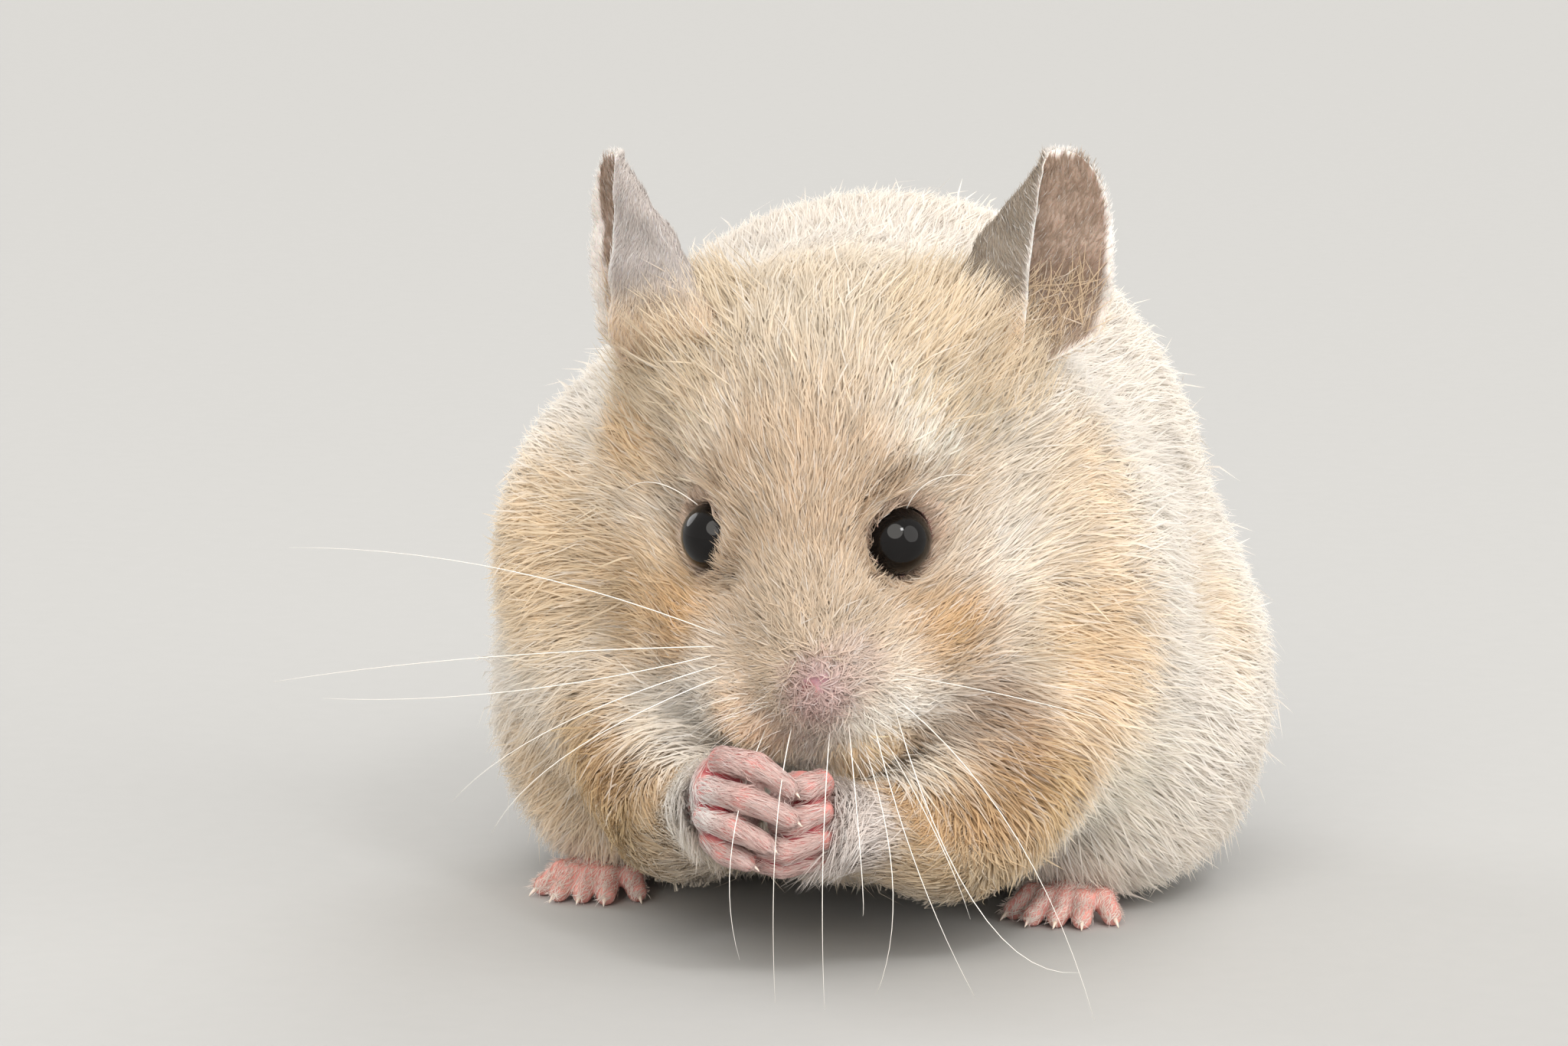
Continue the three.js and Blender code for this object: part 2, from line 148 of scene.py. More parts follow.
# Width over which neighbouring masses run into each other.
blendWidths = {"trunk": 9, "limbs": 3, "head": 6, "limbsToTrunk": 7, "tail": 1, "tailToBody": 2}
neckFlow = {"chin": (-42, 3), "nape": (-26, 9)}   # place along Y, width of the blend there
bowl = {
    "from": {"left": (0.3, 1.4, 0.2), "right": (0.8, 1.3, 0.2)},
    "to": {"left": (4, 5.5, 0.4), "right": (5, 5.5, 0.4)},
    "wide": (1.03, 1.22),
    "rim": 2.2,
}
palms = [((-5.4, -45.6, 18.4), (3.6, 2.8, 4.4), 12), ((1.6, -44.6, 16.6), (3.4, 2.8, 4.5), -14)]
fingers = {
    "right": [
        [(-5.4, -47.4, 22.2), (-1.6, -49.6, 22.2), (1.4, -49.8, 20.4)],
        [(-6.4, -48, 19.4), (-2.4, -50.6, 19.2), (1.6, -50.4, 17.6)],
        [(-6.8, -47.8, 16.8), (-3.6, -50.2, 16.4), (-0.8, -50, 15)],
        [(-6.4, -47, 14.6), (-4.8, -48.6, 13.8), (-2.8, -48.8, 12.9)],
    ],
    "left": [
        [(3.8, -46.6, 20.2), (2.8, -47.6, 20), (1.8, -47.6, 19.6)],
        [(3.9, -47.2, 17.6), (1.8, -48.4, 16.8), (0, -47.8, 16.4)],
        [(3.8, -47.2, 15.2), (1, -48.3, 14.1), (-1.4, -47.6, 13.8)],
        [(3.2, -46, 13.2), (0.2, -46.9, 12.4), (-2.2, -46.4, 12.4)],
    ],
}
fingerRadii = (1.48, 1.34, 1.0)


def massLevel(points, centre, radii, turn=0):
    q = points - np.array(centre, points.dtype) + 1e-5
    if turn:
        c, s = math.cos(math.radians(turn)), math.sin(math.radians(turn))
        q = q @ np.array([[c, -s, 0], [s, c, 0], [0, 0, 1]], points.dtype)
    near = np.sqrt(((q / np.array(radii, points.dtype)) ** 2).sum(-1))
    slope = np.sqrt(((q / np.array(radii, points.dtype) ** 2) ** 2).sum(-1))
    return near * (near - 1) / slope


def limbLevel(points, start, end, startRadius, endRadius):
    start, end = np.array(start, points.dtype), np.array(end, points.dtype)
    along = end - start
    q = points - start
    share = np.clip(q @ along / (along @ along), 0, 1)
    return np.linalg.norm(q - share[..., None] * along, axis=-1) - (
        startRadius + (endRadius - startRadius) * share
    )


def joined(level, other, width):
    share = np.maximum(width - np.abs(level - other), 0) / width
    return np.minimum(level, other) - share * share * width / 4


def blended(levels, width):
    made = None
    for level in levels:
        made = np.full_like(level, 1e3) if made is None else made
        made = joined(made, level, width)
    return made


def smooth(value, low, high):
    t = np.clip((value - low) / (high - low), 0, 1)
    return t * t * (3 - 2 * t)


def tailLevel(points):
    return blended((limbLevel(points, *m) for m in tailMasses), blendWidths["tail"])


# The outline out to the tips of the coat, apart from ears, hands and feet.
def coatLevel(points):
    headPoints = toHead(points).astype(points.dtype)
    trunk = blended((massLevel(points, *m) for m in trunkMasses), blendWidths["trunk"])
    limbs = blended((limbLevel(points, *m) for m in limbMasses), blendWidths["limbs"])
    skull = blended((massLevel(headPoints, *m) for m in headMasses), blendWidths["head"])
    (chin, least), (nape, most) = neckFlow["chin"], neckFlow["nape"]
    flow = least + (most - least) * smooth(points[..., 1], chin, nape)
    whole = joined(joined(trunk, limbs, blendWidths["limbsToTrunk"]), skull, flow.astype(points.dtype))
    whole = joined(whole, tailLevel(points), blendWidths["tailToBody"])
    for side, sign in (("left", 1), ("right", -1)):
        eye = np.array(head["eyes"][side])
        ends = [onHead(eye + np.array(bowl[k][side]) * (sign, 1, 1)) for k in ("from", "to")]
        hollow = limbLevel(points, *ends, *(head["eyeRadius"] * w for w in bowl["wide"]))
        whole = -joined(-whole, hollow, bowl["rim"])
    return whole


def fingerLevels(points):
    return {
        name: [
            joined(
                limbLevel(points, row[0], row[1], fingerRadii[0], fingerRadii[1]),
                limbLevel(points, row[1], row[2], fingerRadii[1], fingerRadii[2]),
                0.3,
            )
            for row in rows
        ]
        for name, rows in fingers.items()
    }


def nearHands(points):
    return (points[..., 1] < -38) & (np.abs(points[..., 0]) < 16) & (points[..., 2] < 30)


def handLevel(points):
    level = np.full(points.shape[:-1], 9.0, points.dtype)
    near = nearHands(points)
    close = points[near]
    levels = fingerLevels(close)
    both = None
    for (centre, radii, turn), name in zip(palms, ("right", "left")):
        hand = massLevel(close, centre, radii, turn)
        for finger in levels[name]:
            hand = joined(hand, finger, 0.5)
        both = hand if both is None else np.minimum(both, hand)
    level[near] = np.minimum(both, 9)
    return level


# Depth from skin to tips, length and width of a tuft, tufts to a mm2. Each zone takes over from the
# ones before it inside its reach: full within the first radius and gone at the second.
coat = {
    "body": (4.0, 8.4, 0.18, 20),
    "zones": [
        ((0, -30, 12), (10, 26), (3.4, 7.0, 0.18, 20)),                  # breast
        (onHead((0, -12, 0)), (17, 29), (3.0, 6.2, 0.17, 24)),           # head
        (onHead((0, -1, -4)), (13, 21), (2.0, 4.4, 0.15, 33)),           # face
        (onHead((0.8, 6, -7)), (9, 15), (1.4, 3.2, 0.14, 38)),           # muzzle
        (onHead((1.5, 11, -12)), (6, 10), (1.0, 2.9, 0.135, 44)),        # front of the muzzle
        (onHead((5.5, 12.5, -16)), (2.5, 6), (1.3, 4.3, 0.18, 34)),      # left side of the moustache
        (onHead((-4, 11.8, -14.5)), (2.5, 6), (1.3, 4.1, 0.18, 34)),     # right side of the moustache
        (onHead((3.4, 12.3, -20)), (1, 2.6), (0.6, 1.6, 0.12, 46)),      # chin
        (onHead((2.6, 13.8, -7.8)), (1.2, 3.2), (0.5, 1.9, 0.12, 40)),   # nose
        (eyePlaces["left"], (3.6, 6), (0.8, 2.1, 0.12, 44)),
        (eyePlaces["right"], (3.6, 6), (0.8, 2.1, 0.12, 44)),
    ],
    "forearm": (2.3, 5.4, 0.15, 30),
    "hand": (0.2, 2.2, 0.08, 24),
    "tail": (0.8, 1.9, 0.11, 34),
    "underside": (2.4, 6.0, 0.22, 9),
    "undersideTo": (2, 12),       # heights between which the underside's coat gives way
}


# The coat's sizes at each point, one column for each of them.
def coatAt(points):
    values = np.tile(coat["body"], (len(points), 1)).astype(float)

    def take(zone, weight):
        values[:] += (np.array(zone) - values) * weight[:, None]

    take(coat["underside"], 1 - smooth(points[:, 2], *coat["undersideTo"]))
    for place, reach, zone in coat["zones"]:
        far = np.linalg.norm(points - np.array(place), axis=-1)
        take(zone, 1 - smooth(far, *reach))
    arm = np.minimum(*(limbLevel(points, *m) for m in forearms))
    take(coat["forearm"], 1 - smooth(arm, 0, 3))
    take(coat["tail"], 1 - smooth(tailLevel(points), 0.5, 3.5))
    take(coat["hand"], 1 - smooth(handLevel(points), 0.3, 2.2))
    return values


lid = {"height": 0.75, "ring": 3.22, "thickness": 0.28, "bed": (3.9, -0.8, 0.9)}
face = {
    # creases as rows of places on the head, each with its radius
    "nostrils": [
        [(2.7, 13.4, -7.2), (1.9, 13.6, -7.4), (1.3, 13.6, -8.3)],
        [(3.1, 13.3, -7.2), (3.8, 13.0, -6.9), (4.3, 12.8, -7.3)],
    ],
    "nostrilRadius": 0.42,
    "philtrum": [
        (1.8, 13.7, -8.4), (-0.2, 13.6, -10), (-2.1, 12.6, -12.6), (-1.8, 12, -16), (-0.6, 11.6, -18),
    ],
    "philtrumRadius": 0.4,
    "mouth": [
        (-1.5, 11.4, -19.2), (1.1, 12, -19), (3.6, 12.6, -18.7), (6.2, 12.1, -18.6), (8.4, 10.8, -18.2),
    ],
    "mouthRadius": 0.8,
    "lip": (0.2, 11.9, -19.8),
}


def grooveLevel(points, row, radius):
    row = [onHead(place) for place in row]
    return np.min([limbLevel(points, a, b, radius, radius) for a, b in zip(row, row[1:])], axis=0)


def aroundEye(points, side):
    q = points - eyePlaces[side]
    out = q @ eyeAxes[side]
    return q, out, np.linalg.norm(q - out[..., None] * eyeAxes[side], axis=-1)


# The skin under the coat, with lids, nostrils, lip and hands.
def skinLevel(points):
    flat = points.reshape(-1, 3)
    level = coatLevel(flat) + coatAt(flat)[:, 0].astype(flat.dtype)
    arm = blended((limbLevel(flat, m[0], m[1], m[2] - 2.4, m[3] - 1.3) for m in forearms), 1)
    level = np.minimum(level, joined(arm, handLevel(flat) + 0.15, 1.6))
    bedRing, bedHeight, bedThickness = lid["bed"]
    for side in eyePlaces:
        q, out, ring = aroundEye(flat, side)
        level = joined(level, np.hypot(ring - bedRing, out - bedHeight) - bedThickness, 1.2)
        level = joined(level, np.hypot(ring - lid["ring"], out - lid["height"]) - lid["thickness"], 0.5)
        level = np.maximum(level, head["eyeRadius"] + 0.04 - np.linalg.norm(q, axis=-1))
    for row in face["nostrils"]:
        level = -joined(-level, grooveLevel(flat, row, face["nostrilRadius"]), 0.3)
    level = -joined(-level, grooveLevel(flat, face["philtrum"], face["philtrumRadius"]), 0.6)
    level = -joined(-level, grooveLevel(flat, face["mouth"], face["mouthRadius"]), 0.6)
    return level.reshape(points.shape[:-1])


# A net over the zero of a level: one point to each cell it crosses, quads facing outward.
def netOf(levels, axes):
    cells = np.array(levels.shape) - 1
    corners, spots = [], []
    for axis in range(3):
        a, b = (axis + 1) % 3, (axis + 2) % 3
        first = levels[tuple(slice(None, -1) if k == axis else slice(None) for k in range(3))]
        second = levels[tuple(slice(1, None) if k == axis else slice(None) for k in range(3))]
        edge = np.argwhere((first < 0) != (second < 0))
        edge = edge[(edge[:, [a, b]] > 0).all(1) & (edge[:, [a, b]] < cells[[a, b]]).all(1)]
        v0, v1 = first[tuple(edge.T)], second[tuple(edge.T)]
        spot = np.stack([axes[k][edge[:, k]] for k in range(3)], 1)
        spot[:, axis] += v0 / (v0 - v1) * (axes[axis][edge[:, axis] + 1] - axes[axis][edge[:, axis]])
        quad = []
        for da, db in ((-1, -1), (0, -1), (0, 0), (-1, 0)):
            cell = edge.copy()
            cell[:, a] += da
            cell[:, b] += db
            quad.append(np.ravel_multi_index(cell.T, cells))
        quad = np.stack(quad, 1)
        quad[v0 > 0] = quad[v0 > 0][:, ::-1]
        corners.append(quad)
        spots.append(np.repeat(spot, 4, axis=0))
    corners, spots = np.concatenate(corners), np.concatenate(spots)
    _, index = np.unique(corners, return_inverse=True)
    index = index.reshape(-1)
    count = np.bincount(index)
    points = np.stack([np.bincount(index, spots[:, k]) / count for k in range(3)], 1)
    return points, index.reshape(-1, 4)


def levelsOn(level, axes, planes=6):
    made = np.empty([len(a) for a in axes], np.float32)
    for i in range(0, len(axes[0]), planes):
        block = np.stack(np.meshgrid(axes[0][i:i + planes], axes[1], axes[2], indexing="ij"), -1)
        made[i:i + planes] = level(block.astype(np.float32))
    return made


# Points drawn onto the zero of a level.
def settled(points, level, rounds=2, step=0.12):
    for _ in range(rounds):
        here = level(points)
        slope = np.stack([level(points + step * axis) - here for axis in np.eye(3)], 1) / step
        move = (here / np.maximum((slope ** 2).sum(1), 0.05))[:, None] * slope
        points = points - np.clip(move, -0.4, 0.4)
    return points


# Reads levels and the way they rise between the grid's points.
def samplerOf(levels, axes):
    stacked = np.stack([levels, *np.gradient(levels, *axes)], -1).astype(np.float32)

    def sample(points):
        place = [np.interp(points[:, k], axes[k], np.arange(len(axes[k]))) for k in range(3)]
        base = [np.minimum(p.astype(int), len(axes[k]) - 2) for k, p in enumerate(place)]
        part = [p - b for p, b in zip(place, base)]
        found = 0
        for corner in np.ndindex(2, 2, 2):
            share = 1.0
            for p, on in zip(part, corner):
                share = share * (p if on else 1 - p)
            found = found + stacked[tuple(b + on for b, on in zip(base, corner))] * share[:, None]
        return found[:, 0], unit(found[:, 1:])

    return sample


def lines(*runs):
    return np.concatenate([np.arange(low, high, step) for low, high, step in runs])


# 0.36 mm apart over the face and hands, about 1 mm elsewhere
bodyAxes = (
    lines((-43, -14, 1.0), (-14, 15.9, 0.36), (16, 43, 1.0)),
    lines((-55, -32, 0.36), (-31.9, 55, 1.0)),
    lines((-2, 9.9, 0.8), (10, 52, 0.36), (52.1, 74, 0.9)),
)
bodyLevels = levelsOn(skinLevel, bodyAxes)
report("levels of the skin")
skinPoints, skinQuads = netOf(bodyLevels, bodyAxes)
skinPoints = settled(skinPoints, skinLevel)
aboveSkin = samplerOf(bodyLevels, bodyAxes)
report(f"skin of {len(skinQuads)} quads")

ears = {
    "tall": 21.0,
    "thick": 1.0,
    "tip": {"left": (22.2, -24.2, 78.2), "right": (-20.9, -25.2, 77.2)},
    "turn": {"left": 12, "right": 36},   # degrees outward from straight ahead
    "back": 8,
    "lean": {"left": 0, "right": 6},
    "fold": {"left": 16.6, "right": 20},
    "depth": 3.0,
    "columns": 120,
    "rows": 80,
    "ruffles": 0.22,                     # how far the thin skin puckers
}


# A leaf folded lengthwise: the place of its front edge, fold and rear edge at a height.
def earEdges(up, reach):
    down = 1 - up
    front = -3.9 * down ** 0.4
    fold = -reach * down * (1 - 0.28 * down ** 3)
    rear = 5.1 * np.sqrt(np.maximum(0, 1 - np.abs(2 * up - 1) ** 2.6)) - 0.6 * down ** 4
    spread = ears["depth"] * np.sqrt(down)
    bend = fold - np.sqrt(np.maximum(0, (fold - front) * (fold - rear)))
    return (front, -spread), (np.minimum(bend, front), spread * 0.5), (rear, spread)


def turned(axis, degrees):
    return np.array(Matrix.Rotation(math.radians(degrees), 3, axis))


def earMesh(which):
    sign = 1 if which == "left" else -1
    columns, rows = ears["columns"], ears["rows"]
    up = (1 - np.cos(np.linspace(0, math.pi, rows + 2)[1:-1])) / 2
    angle = np.linspace(0, 2 * math.pi, columns, endpoint=False)
    up, angle = np.meshgrid(up, angle, indexing="ij")
    across, outward = np.cos(angle), np.sin(angle)
    t = (across + 1) / 2
    front, bend, rear = earEdges(up, ears["fold"][which])
    along = [(1 - t) ** 2 * front[k] + 2 * t * (1 - t) * bend[k] + t ** 2 * rear[k] for k in (0, 1)]
    slope = [(1 - t) * (bend[k] - front[k]) + t * (rear[k] - bend[k]) for k in (0, 1)]
    steep = np.maximum(np.hypot(*slope), 1e-6)
    half = ears["thick"] / 2 * (1.5 - 0.6 * up) * (1 - 0.35 * np.abs(across) ** 6)
    # cartilage ridges inside the scoop, and puckers through the whole leaf
    ridge = 0.5 * np.exp(-((t - 0.42 - 0.2 * (1 - up)) / 0.05) ** 2) * smooth(0.75 - up, 0, 0.4)
    ridge = ridge + 0.4 * np.exp(-((t - 0.7 + 0.15 * up) / 0.06) ** 2) * smooth(0.6 - up, 0, 0.4)
    pucker = np.sin(17 * up + 9 * t) + 0.6 * np.sin(31 * up - 14 * t + 1)
    pucker = pucker * ears["ruffles"] * smooth(up, 0.1, 0.3) * smooth(1 - up, 0.05, 0.3)
    edge, faceOut = half * across, half * outward - ridge * np.maximum(0, -outward) + pucker
    narrow = np.minimum(1, up / 0.15) ** 0.5
    taper = np.sqrt(np.clip((1 - up) / 0.02, 0, 1))
    x = -4 + (along[0] + 4) * narrow + (edge * slope[0] - faceOut * slope[1]) / steep * taper
    y = along[1] * narrow + (edge * slope[1] + faceOut * slope[0]) / steep * taper
    points = np.stack([x * sign, y, ears["tall"] * (up - 1)], -1).reshape(-1, 3)
    points = np.concatenate([points, [(-4 * sign, 0, -ears["tall"]), (0, 0, 0.15)]])
    points = points @ turned("X", -ears["back"]).T
    points = points @ turned("Y", sign * ears["lean"][which]).T
    points = points @ turned("Z", sign * ears["turn"][which]).T
    points = points + np.array(ears["tip"][which])
    a = np.arange(rows * columns).reshape(rows, columns)
    b = np.roll(a, -1, axis=1)
    foot, tip = (np.full(columns, rows * columns + k) for k in (0, 1))
    faces = np.concatenate([
        np.stack([a[:-1], b[:-1], b[1:], a[1:]], -1).reshape(-1, 4),
        np.stack([foot, b[0], a[0], foot], 1),
        np.stack([tip, a[-1], b[-1], tip], 1),
    ])
    share = np.stack([t.ravel(), up.ravel(), outward.ravel()], 1)
    share = np.concatenate([share, [[0.5, 0, 0], [0.5, 1, 0]]])
    return points, faces if sign > 0 else faces[:, ::-1], share


feet = {
    "left": {"heel": (22, 3, 2.2), "toesTo": (21, -13.6, 1.2)},
    "right": {"heel": (-26, 4, 2.2), "toesTo": (-27.5, -11.6, 1.2)},
    "length": 18,
    "sole": (3.5, 8.3, 2.7),
    "toeRadii": (1.38, 0.98),
    "toeRoots": 7.5,             # back from the front end of the foot
    "toeReach": 6.4,
    "outerToesShorter": 2.4,
    "apart": (1.15, 2.5),        # toe from toe at their roots and tips
    "hairDensity": 16.0,
    "hairLength": 1.3,
    "hairHeight": 0.16,
    "hairWidth": 0.07,
    "hairColour": "#f9efe8",
}


def footParts(side):
    heel, toesTo = (np.array(feet[side][k], float) for k in ("heel", "toesTo"))
    forward = unit(toesTo - heel)
    across = unit(np.array([-forward[1], forward[0], 0]))
    root = heel + forward * (feet["length"] - feet["toeRoots"])
    turn = math.degrees(math.atan2(-forward[0], forward[1]))
    sole = heel + forward * 5
    sole[2] = 2.6
    toes = []
    for toe in range(-2, 3):
        start = root + across * toe * feet["apart"][0]
        start[2] = 2
        reach = feet["toeReach"] - (feet["outerToesShorter"] if abs(toe) == 2 else 0)
        tip = root + across * toe * feet["apart"][1] + forward * reach
        tip[2] = 0.95
        middle = (start + tip) / 2
        middle[2] = 2.1
        toes.append((start, middle, tip))
    return sole, turn, toes, forward


def footLevel(points, side):
    sole, turn, toes, _ = footParts(side)
    level = massLevel(points, sole, feet["sole"], turn)
    first, last = feet["toeRadii"]
    for start, middle, tip in toes:
        toe = joined(
            limbLevel(points, start, middle, first, (first + last) / 2),
            limbLevel(points, middle, tip, (first + last) / 2, last),
            0.3,
        )
        level = joined(level, toe, 0.7)
    return level


def footMesh(side):
    sole, _, toes, _ = footParts(side)
    spread = np.array([s for toe in toes for s in toe] + [sole + 9, sole - 9])
    low, high = spread.min(0) - 2.5, spread.max(0) + 2.5
    axes = [np.arange(low[k], high[k], 0.3) for k in range(2)] + [np.arange(-1.5, 8, 0.3)]
    points, quads = netOf(levelsOn(lambda p: footLevel(p, side), axes), axes)
    points = settled(points, lambda p: footLevel(p, side))
    points[:, 2] = np.maximum(points[:, 2], 0)
    return points, quads


earParts = {side: earMesh(side) for side in ("left", "right")}
footMeshes = {side: footMesh(side) for side in ("left", "right")}
report("ears and feet")


def linear(hexColour):
    value = np.array([int(hexColour[i:i + 2], 16) / 255 for i in (1, 3, 5)])
    return np.where(value <= 0.04045, value / 12.92, ((value + 0.055) / 1.055) ** 2.4)


# Markings of a pale golden coat, with painted light and shade among them where noted. A zone's colour takes
# over inside its reach.
markingsAndPaintedLight = {
    "body": "#f6f0e8",
    "zones": [
        {"at": (-25, -27, 37), "reach": (5, 15), "colour": "#f4e2c7"},            # right shoulder
        {"at": (-20, -31, 17), "reach": (4, 14), "colour": "#dbc29b"},            # right side of the breast: golden, darker still as painted shade under the head
        {"at": (34, -4, 32), "reach": (2, 11), "colour": "#f8e8d2"},              # left flank
        {"at": (17, -35, 15), "reach": (4, 12), "colour": "#e6d2b3"},             # left side of the breast: golden, darker still as painted shade under the head
        {"at": (0, -36, 8), "reach": (5, 15), "colour": "#dcc7a8"},               # breast: golden, darker still as painted shade under the head
        {"at": (27, -23, 16), "reach": (5, 13), "colour": "#fcf4e8"},             # lower left flank
        {"at": (-27, -18, 14), "reach": (4, 13), "colour": "#f2e0c6"},            # lower right flank
        {"at": (24, -27, 45), "reach": (3, 11), "colour": "#f4e5d0"},             # left shoulder
        {"at": (0, 6, 72), "reach": (14, 34), "colour": "#f0e9e0"},               # back
        {"at": onHead((0, -10, 9)), "reach": (8, 24), "colour": "#e6dac8"},       # crown
        {"at": onHead((0, 0, -1)), "reach": (8, 19), "colour": "#e1cdb5"},        # forehead
        {"at": onHead((12, -3, 9)), "reach": (3, 8), "colour": "#fff6ea"},        # left temple, paler as painted light over the shade in the hollow above the eye
        # the right brow, paler as painted light over the shade in the hollow above the eye
        {"at": onHead((-9, -3, 8)), "reach": (2, 6), "colour": "#f6e8d6"},
        {"at": onHead((-18, -6, 4)), "reach": (3, 8), "colour": "#efd6b2"},       # right temple
        {"at": onHead((23, -3, -14)), "reach": (4, 13), "colour": "#f3dec0"},     # left cheek
        {"at": onHead((13.6, 5.8, -6.8)), "reach": (1, 7.5), "colour": "#d4b182"},
        {"at": onHead((10.3, 5, -4)), "reach": (1, 4.5), "colour": "#ceb392"},    # under the left eye
        {"at": onHead((-18, 0, -9)), "reach": (3, 11), "colour": "#e6cda9"},      # right cheek
        {"at": onHead((-12.5, 4.5, -6.8)), "reach": (2, 7), "colour": "#d9b98f"},
        # Golden brown on the arm and under the cheeks, darkened as painted shade where the cheeks overhang
        # the arms and breast, down to the fold under the right cheek
        {"at": (24, -31.5, 22.5), "reach": (2, 8), "colour": "#dabf98"},          # upper arm, darkened as painted shade under the cheek
        {"at": (20.5, -34, 20.5), "reach": (2.5, 6.5), "colour": "#dcc29a"},      # painted shade in the fold under the left cheek
        {"at": (15.5, -39, 18), "reach": (3, 8), "colour": "#d2b28a"},
        {"at": (17, -37, 24), "reach": (3, 7), "colour": "#ad8455"},
        {"at": (13.5, -39.5, 21.8), "reach": (2.5, 6.5), "colour": "#c3a074"},
        {"at": (-17.5, -37, 22), "reach": (2.5, 7), "colour": "#c5a276"},       # painted shade in the fold under the right cheek
        {"at": onHead((0.8, 9, -5)), "reach": (4, 9), "colour": "#dccab4"},       # bridge
        {"at": onHead((6, 12, -16)), "reach": (2, 5), "colour": "#f4dcb8"},       # left pad
        {"at": onHead((-4, 11, -14)), "reach": (2, 6), "colour": "#fae4cc"},      # right pad
        {"at": onHead((2.6, 13.5, -8.2)), "reach": (1.2, 3.6), "colour": "#d8beb8"},  # by the nose
        {"at": onHead((6, 12, -6)), "reach": (1, 4), "colour": "#dac8c0"},        # thin hair beside it
        {"at": eyePlaces["left"], "reach": (3.4, 4.7), "colour": "#dfc9b6"},
        {"at": eyePlaces["right"], "reach": (3.4, 4.7), "colour": "#dfc9b6"},
    ],
    "underside": "#f6eee4",
    "undersideTo": (4, 20),       # heights between which it gives way
    "wrist": {"at": (8, -42.8, 15), "reach": (3, 8.5), "colour": "#ede5e0"},
    "hand": "#e6ccc6",
    "handBack": {"at": (-8.8, -46.5, 18), "reach": (2, 5.5), "colour": "#fdf8f5"},
}
bare = {
    "hand": "#d28c86", "crease": "#a03540", "nose": "#b08a90", "lid": "#1c1514", "lidSkin": "#a67f74",
    "mouth": "#2c1416", "lip": "#b3565c", "nostril": "#84505a", "philtrum": "#c08a84",
    "foot": "#dd9c93", "tail": "#e0b0a4",
    # each ear's outer skin is the same grey, painted darker on the left ear and paler on the right as
    # painted shade and light
    "earInner": "#9a8475", "earOuter": {"left": "#8b8178", "right": "#bab2b1"},
    "earRim": "#f2ece8", "earFoot": "#e6cfb6",
}


def mixedIn(colour, name, weight):
    colour[:] += (linear(name) - colour) * weight[:, None]


def coatColour(points):
    colour = np.tile(linear(markingsAndPaintedLight["body"]), (len(points), 1))
    mixedIn(colour, markingsAndPaintedLight["underside"], 1 - smooth(points[:, 2], *markingsAndPaintedLight["undersideTo"]))
    for zone in markingsAndPaintedLight["zones"]:
        far = np.linalg.norm(points - np.array(zone["at"]), axis=-1)
        mixedIn(colour, zone["colour"], 1 - smooth(far, *zone["reach"]))
    wrist = markingsAndPaintedLight["wrist"]
    far = np.linalg.norm(points - np.array(wrist["at"]), axis=-1)
    mixedIn(colour, wrist["colour"], 1 - smooth(far, *wrist["reach"]))
    mixedIn(colour, markingsAndPaintedLight["hand"], 1 - smooth(handLevel(points), 0.2, 1.5))
    pale = markingsAndPaintedLight["handBack"]
    far = np.linalg.norm(points - np.array(pale["at"]), axis=-1)
    mixedIn(colour, pale["colour"], 1 - smooth(far, *pale["reach"]))
    return colour


# How deep a place lies between two fingers.
def creaseAt(points):
    near = np.flatnonzero(nearHands(points))
    levels = np.sort([finger for row in fingerLevels(points[near]).values() for finger in row], axis=0)
    weight = np.zeros(len(points))
    weight[near] = (1 - smooth(levels[1] - levels[0], 0.1, 0.9)) * (1 - smooth(levels[0], 0.3, 1.2))
    return weight


def skinColour(points):
    # Skin under the coat takes the coat's colour 14% darker, as painted shade of the coat's depth.
    colour = coatColour(points) * 0.86
    far = np.linalg.norm(toHead(points) - np.array(head["noseTip"]), axis=-1)
    mixedIn(colour, bare["nose"], 1 - smooth(far, 1.0, 3.2))
    mixedIn(colour, bare["philtrum"], 1 - smooth(grooveLevel(points, face["philtrum"], 0.4), 0.1, 0.9))
    far = np.linalg.norm(toHead(points) - np.array(face["lip"]), axis=-1)
    mixedIn(colour, bare["lip"], 1 - smooth(far, 1, 2.2))
    # The mouth slit is painted near black, as painted shade in the gap under the overhanging pads.
    mouth = grooveLevel(points, face["mouth"], face["mouthRadius"])
    mixedIn(colour, bare["mouth"], 1 - smooth(mouth, 0, 0.5))
    # The nostrils are painted darker, partly their own skin and partly painted shade inside them.
    for row in face["nostrils"]:
        mixedIn(colour, bare["nostril"], 1 - smooth(grooveLevel(points, row, 0.2), 0.05, 0.5))
    mixedIn(colour, bare["hand"], 1 - smooth(handLevel(points), 0.3, 1.6))
    # The gaps between the fingers are painted deep red, partly redder skin and partly painted shade between
    # the fingers.
    mixedIn(colour, bare["crease"], creaseAt(points))
    mixedIn(colour, bare["tail"], 1 - smooth(tailLevel(points), -0.5, 1))
    for side in eyePlaces:
        _, out, ring = aroundEye(points, side)
        far = np.hypot(ring - lid["ring"], out - lid["height"])
        mixedIn(colour, bare["lidSkin"], 1 - smooth(far, 0.5, 1.1))
        mixedIn(colour, bare["lid"], (1 - smooth(ring, lid["ring"] + 0.05, lid["ring"] + 0.3)) * (out > -1))
    return colour


# The pale edge of an ear: full on its two borders and its tip.
def earRim(t, up, side):
    wide = {"left": 0.97, "right": 0.93}[side]
    edge = np.where(t > 0.5, smooth(t, wide, wide + 0.02), smooth(0.985 - t * 0.8, 0.97, 0.99))
    return np.maximum(edge, smooth(up, 0.95, 0.99))


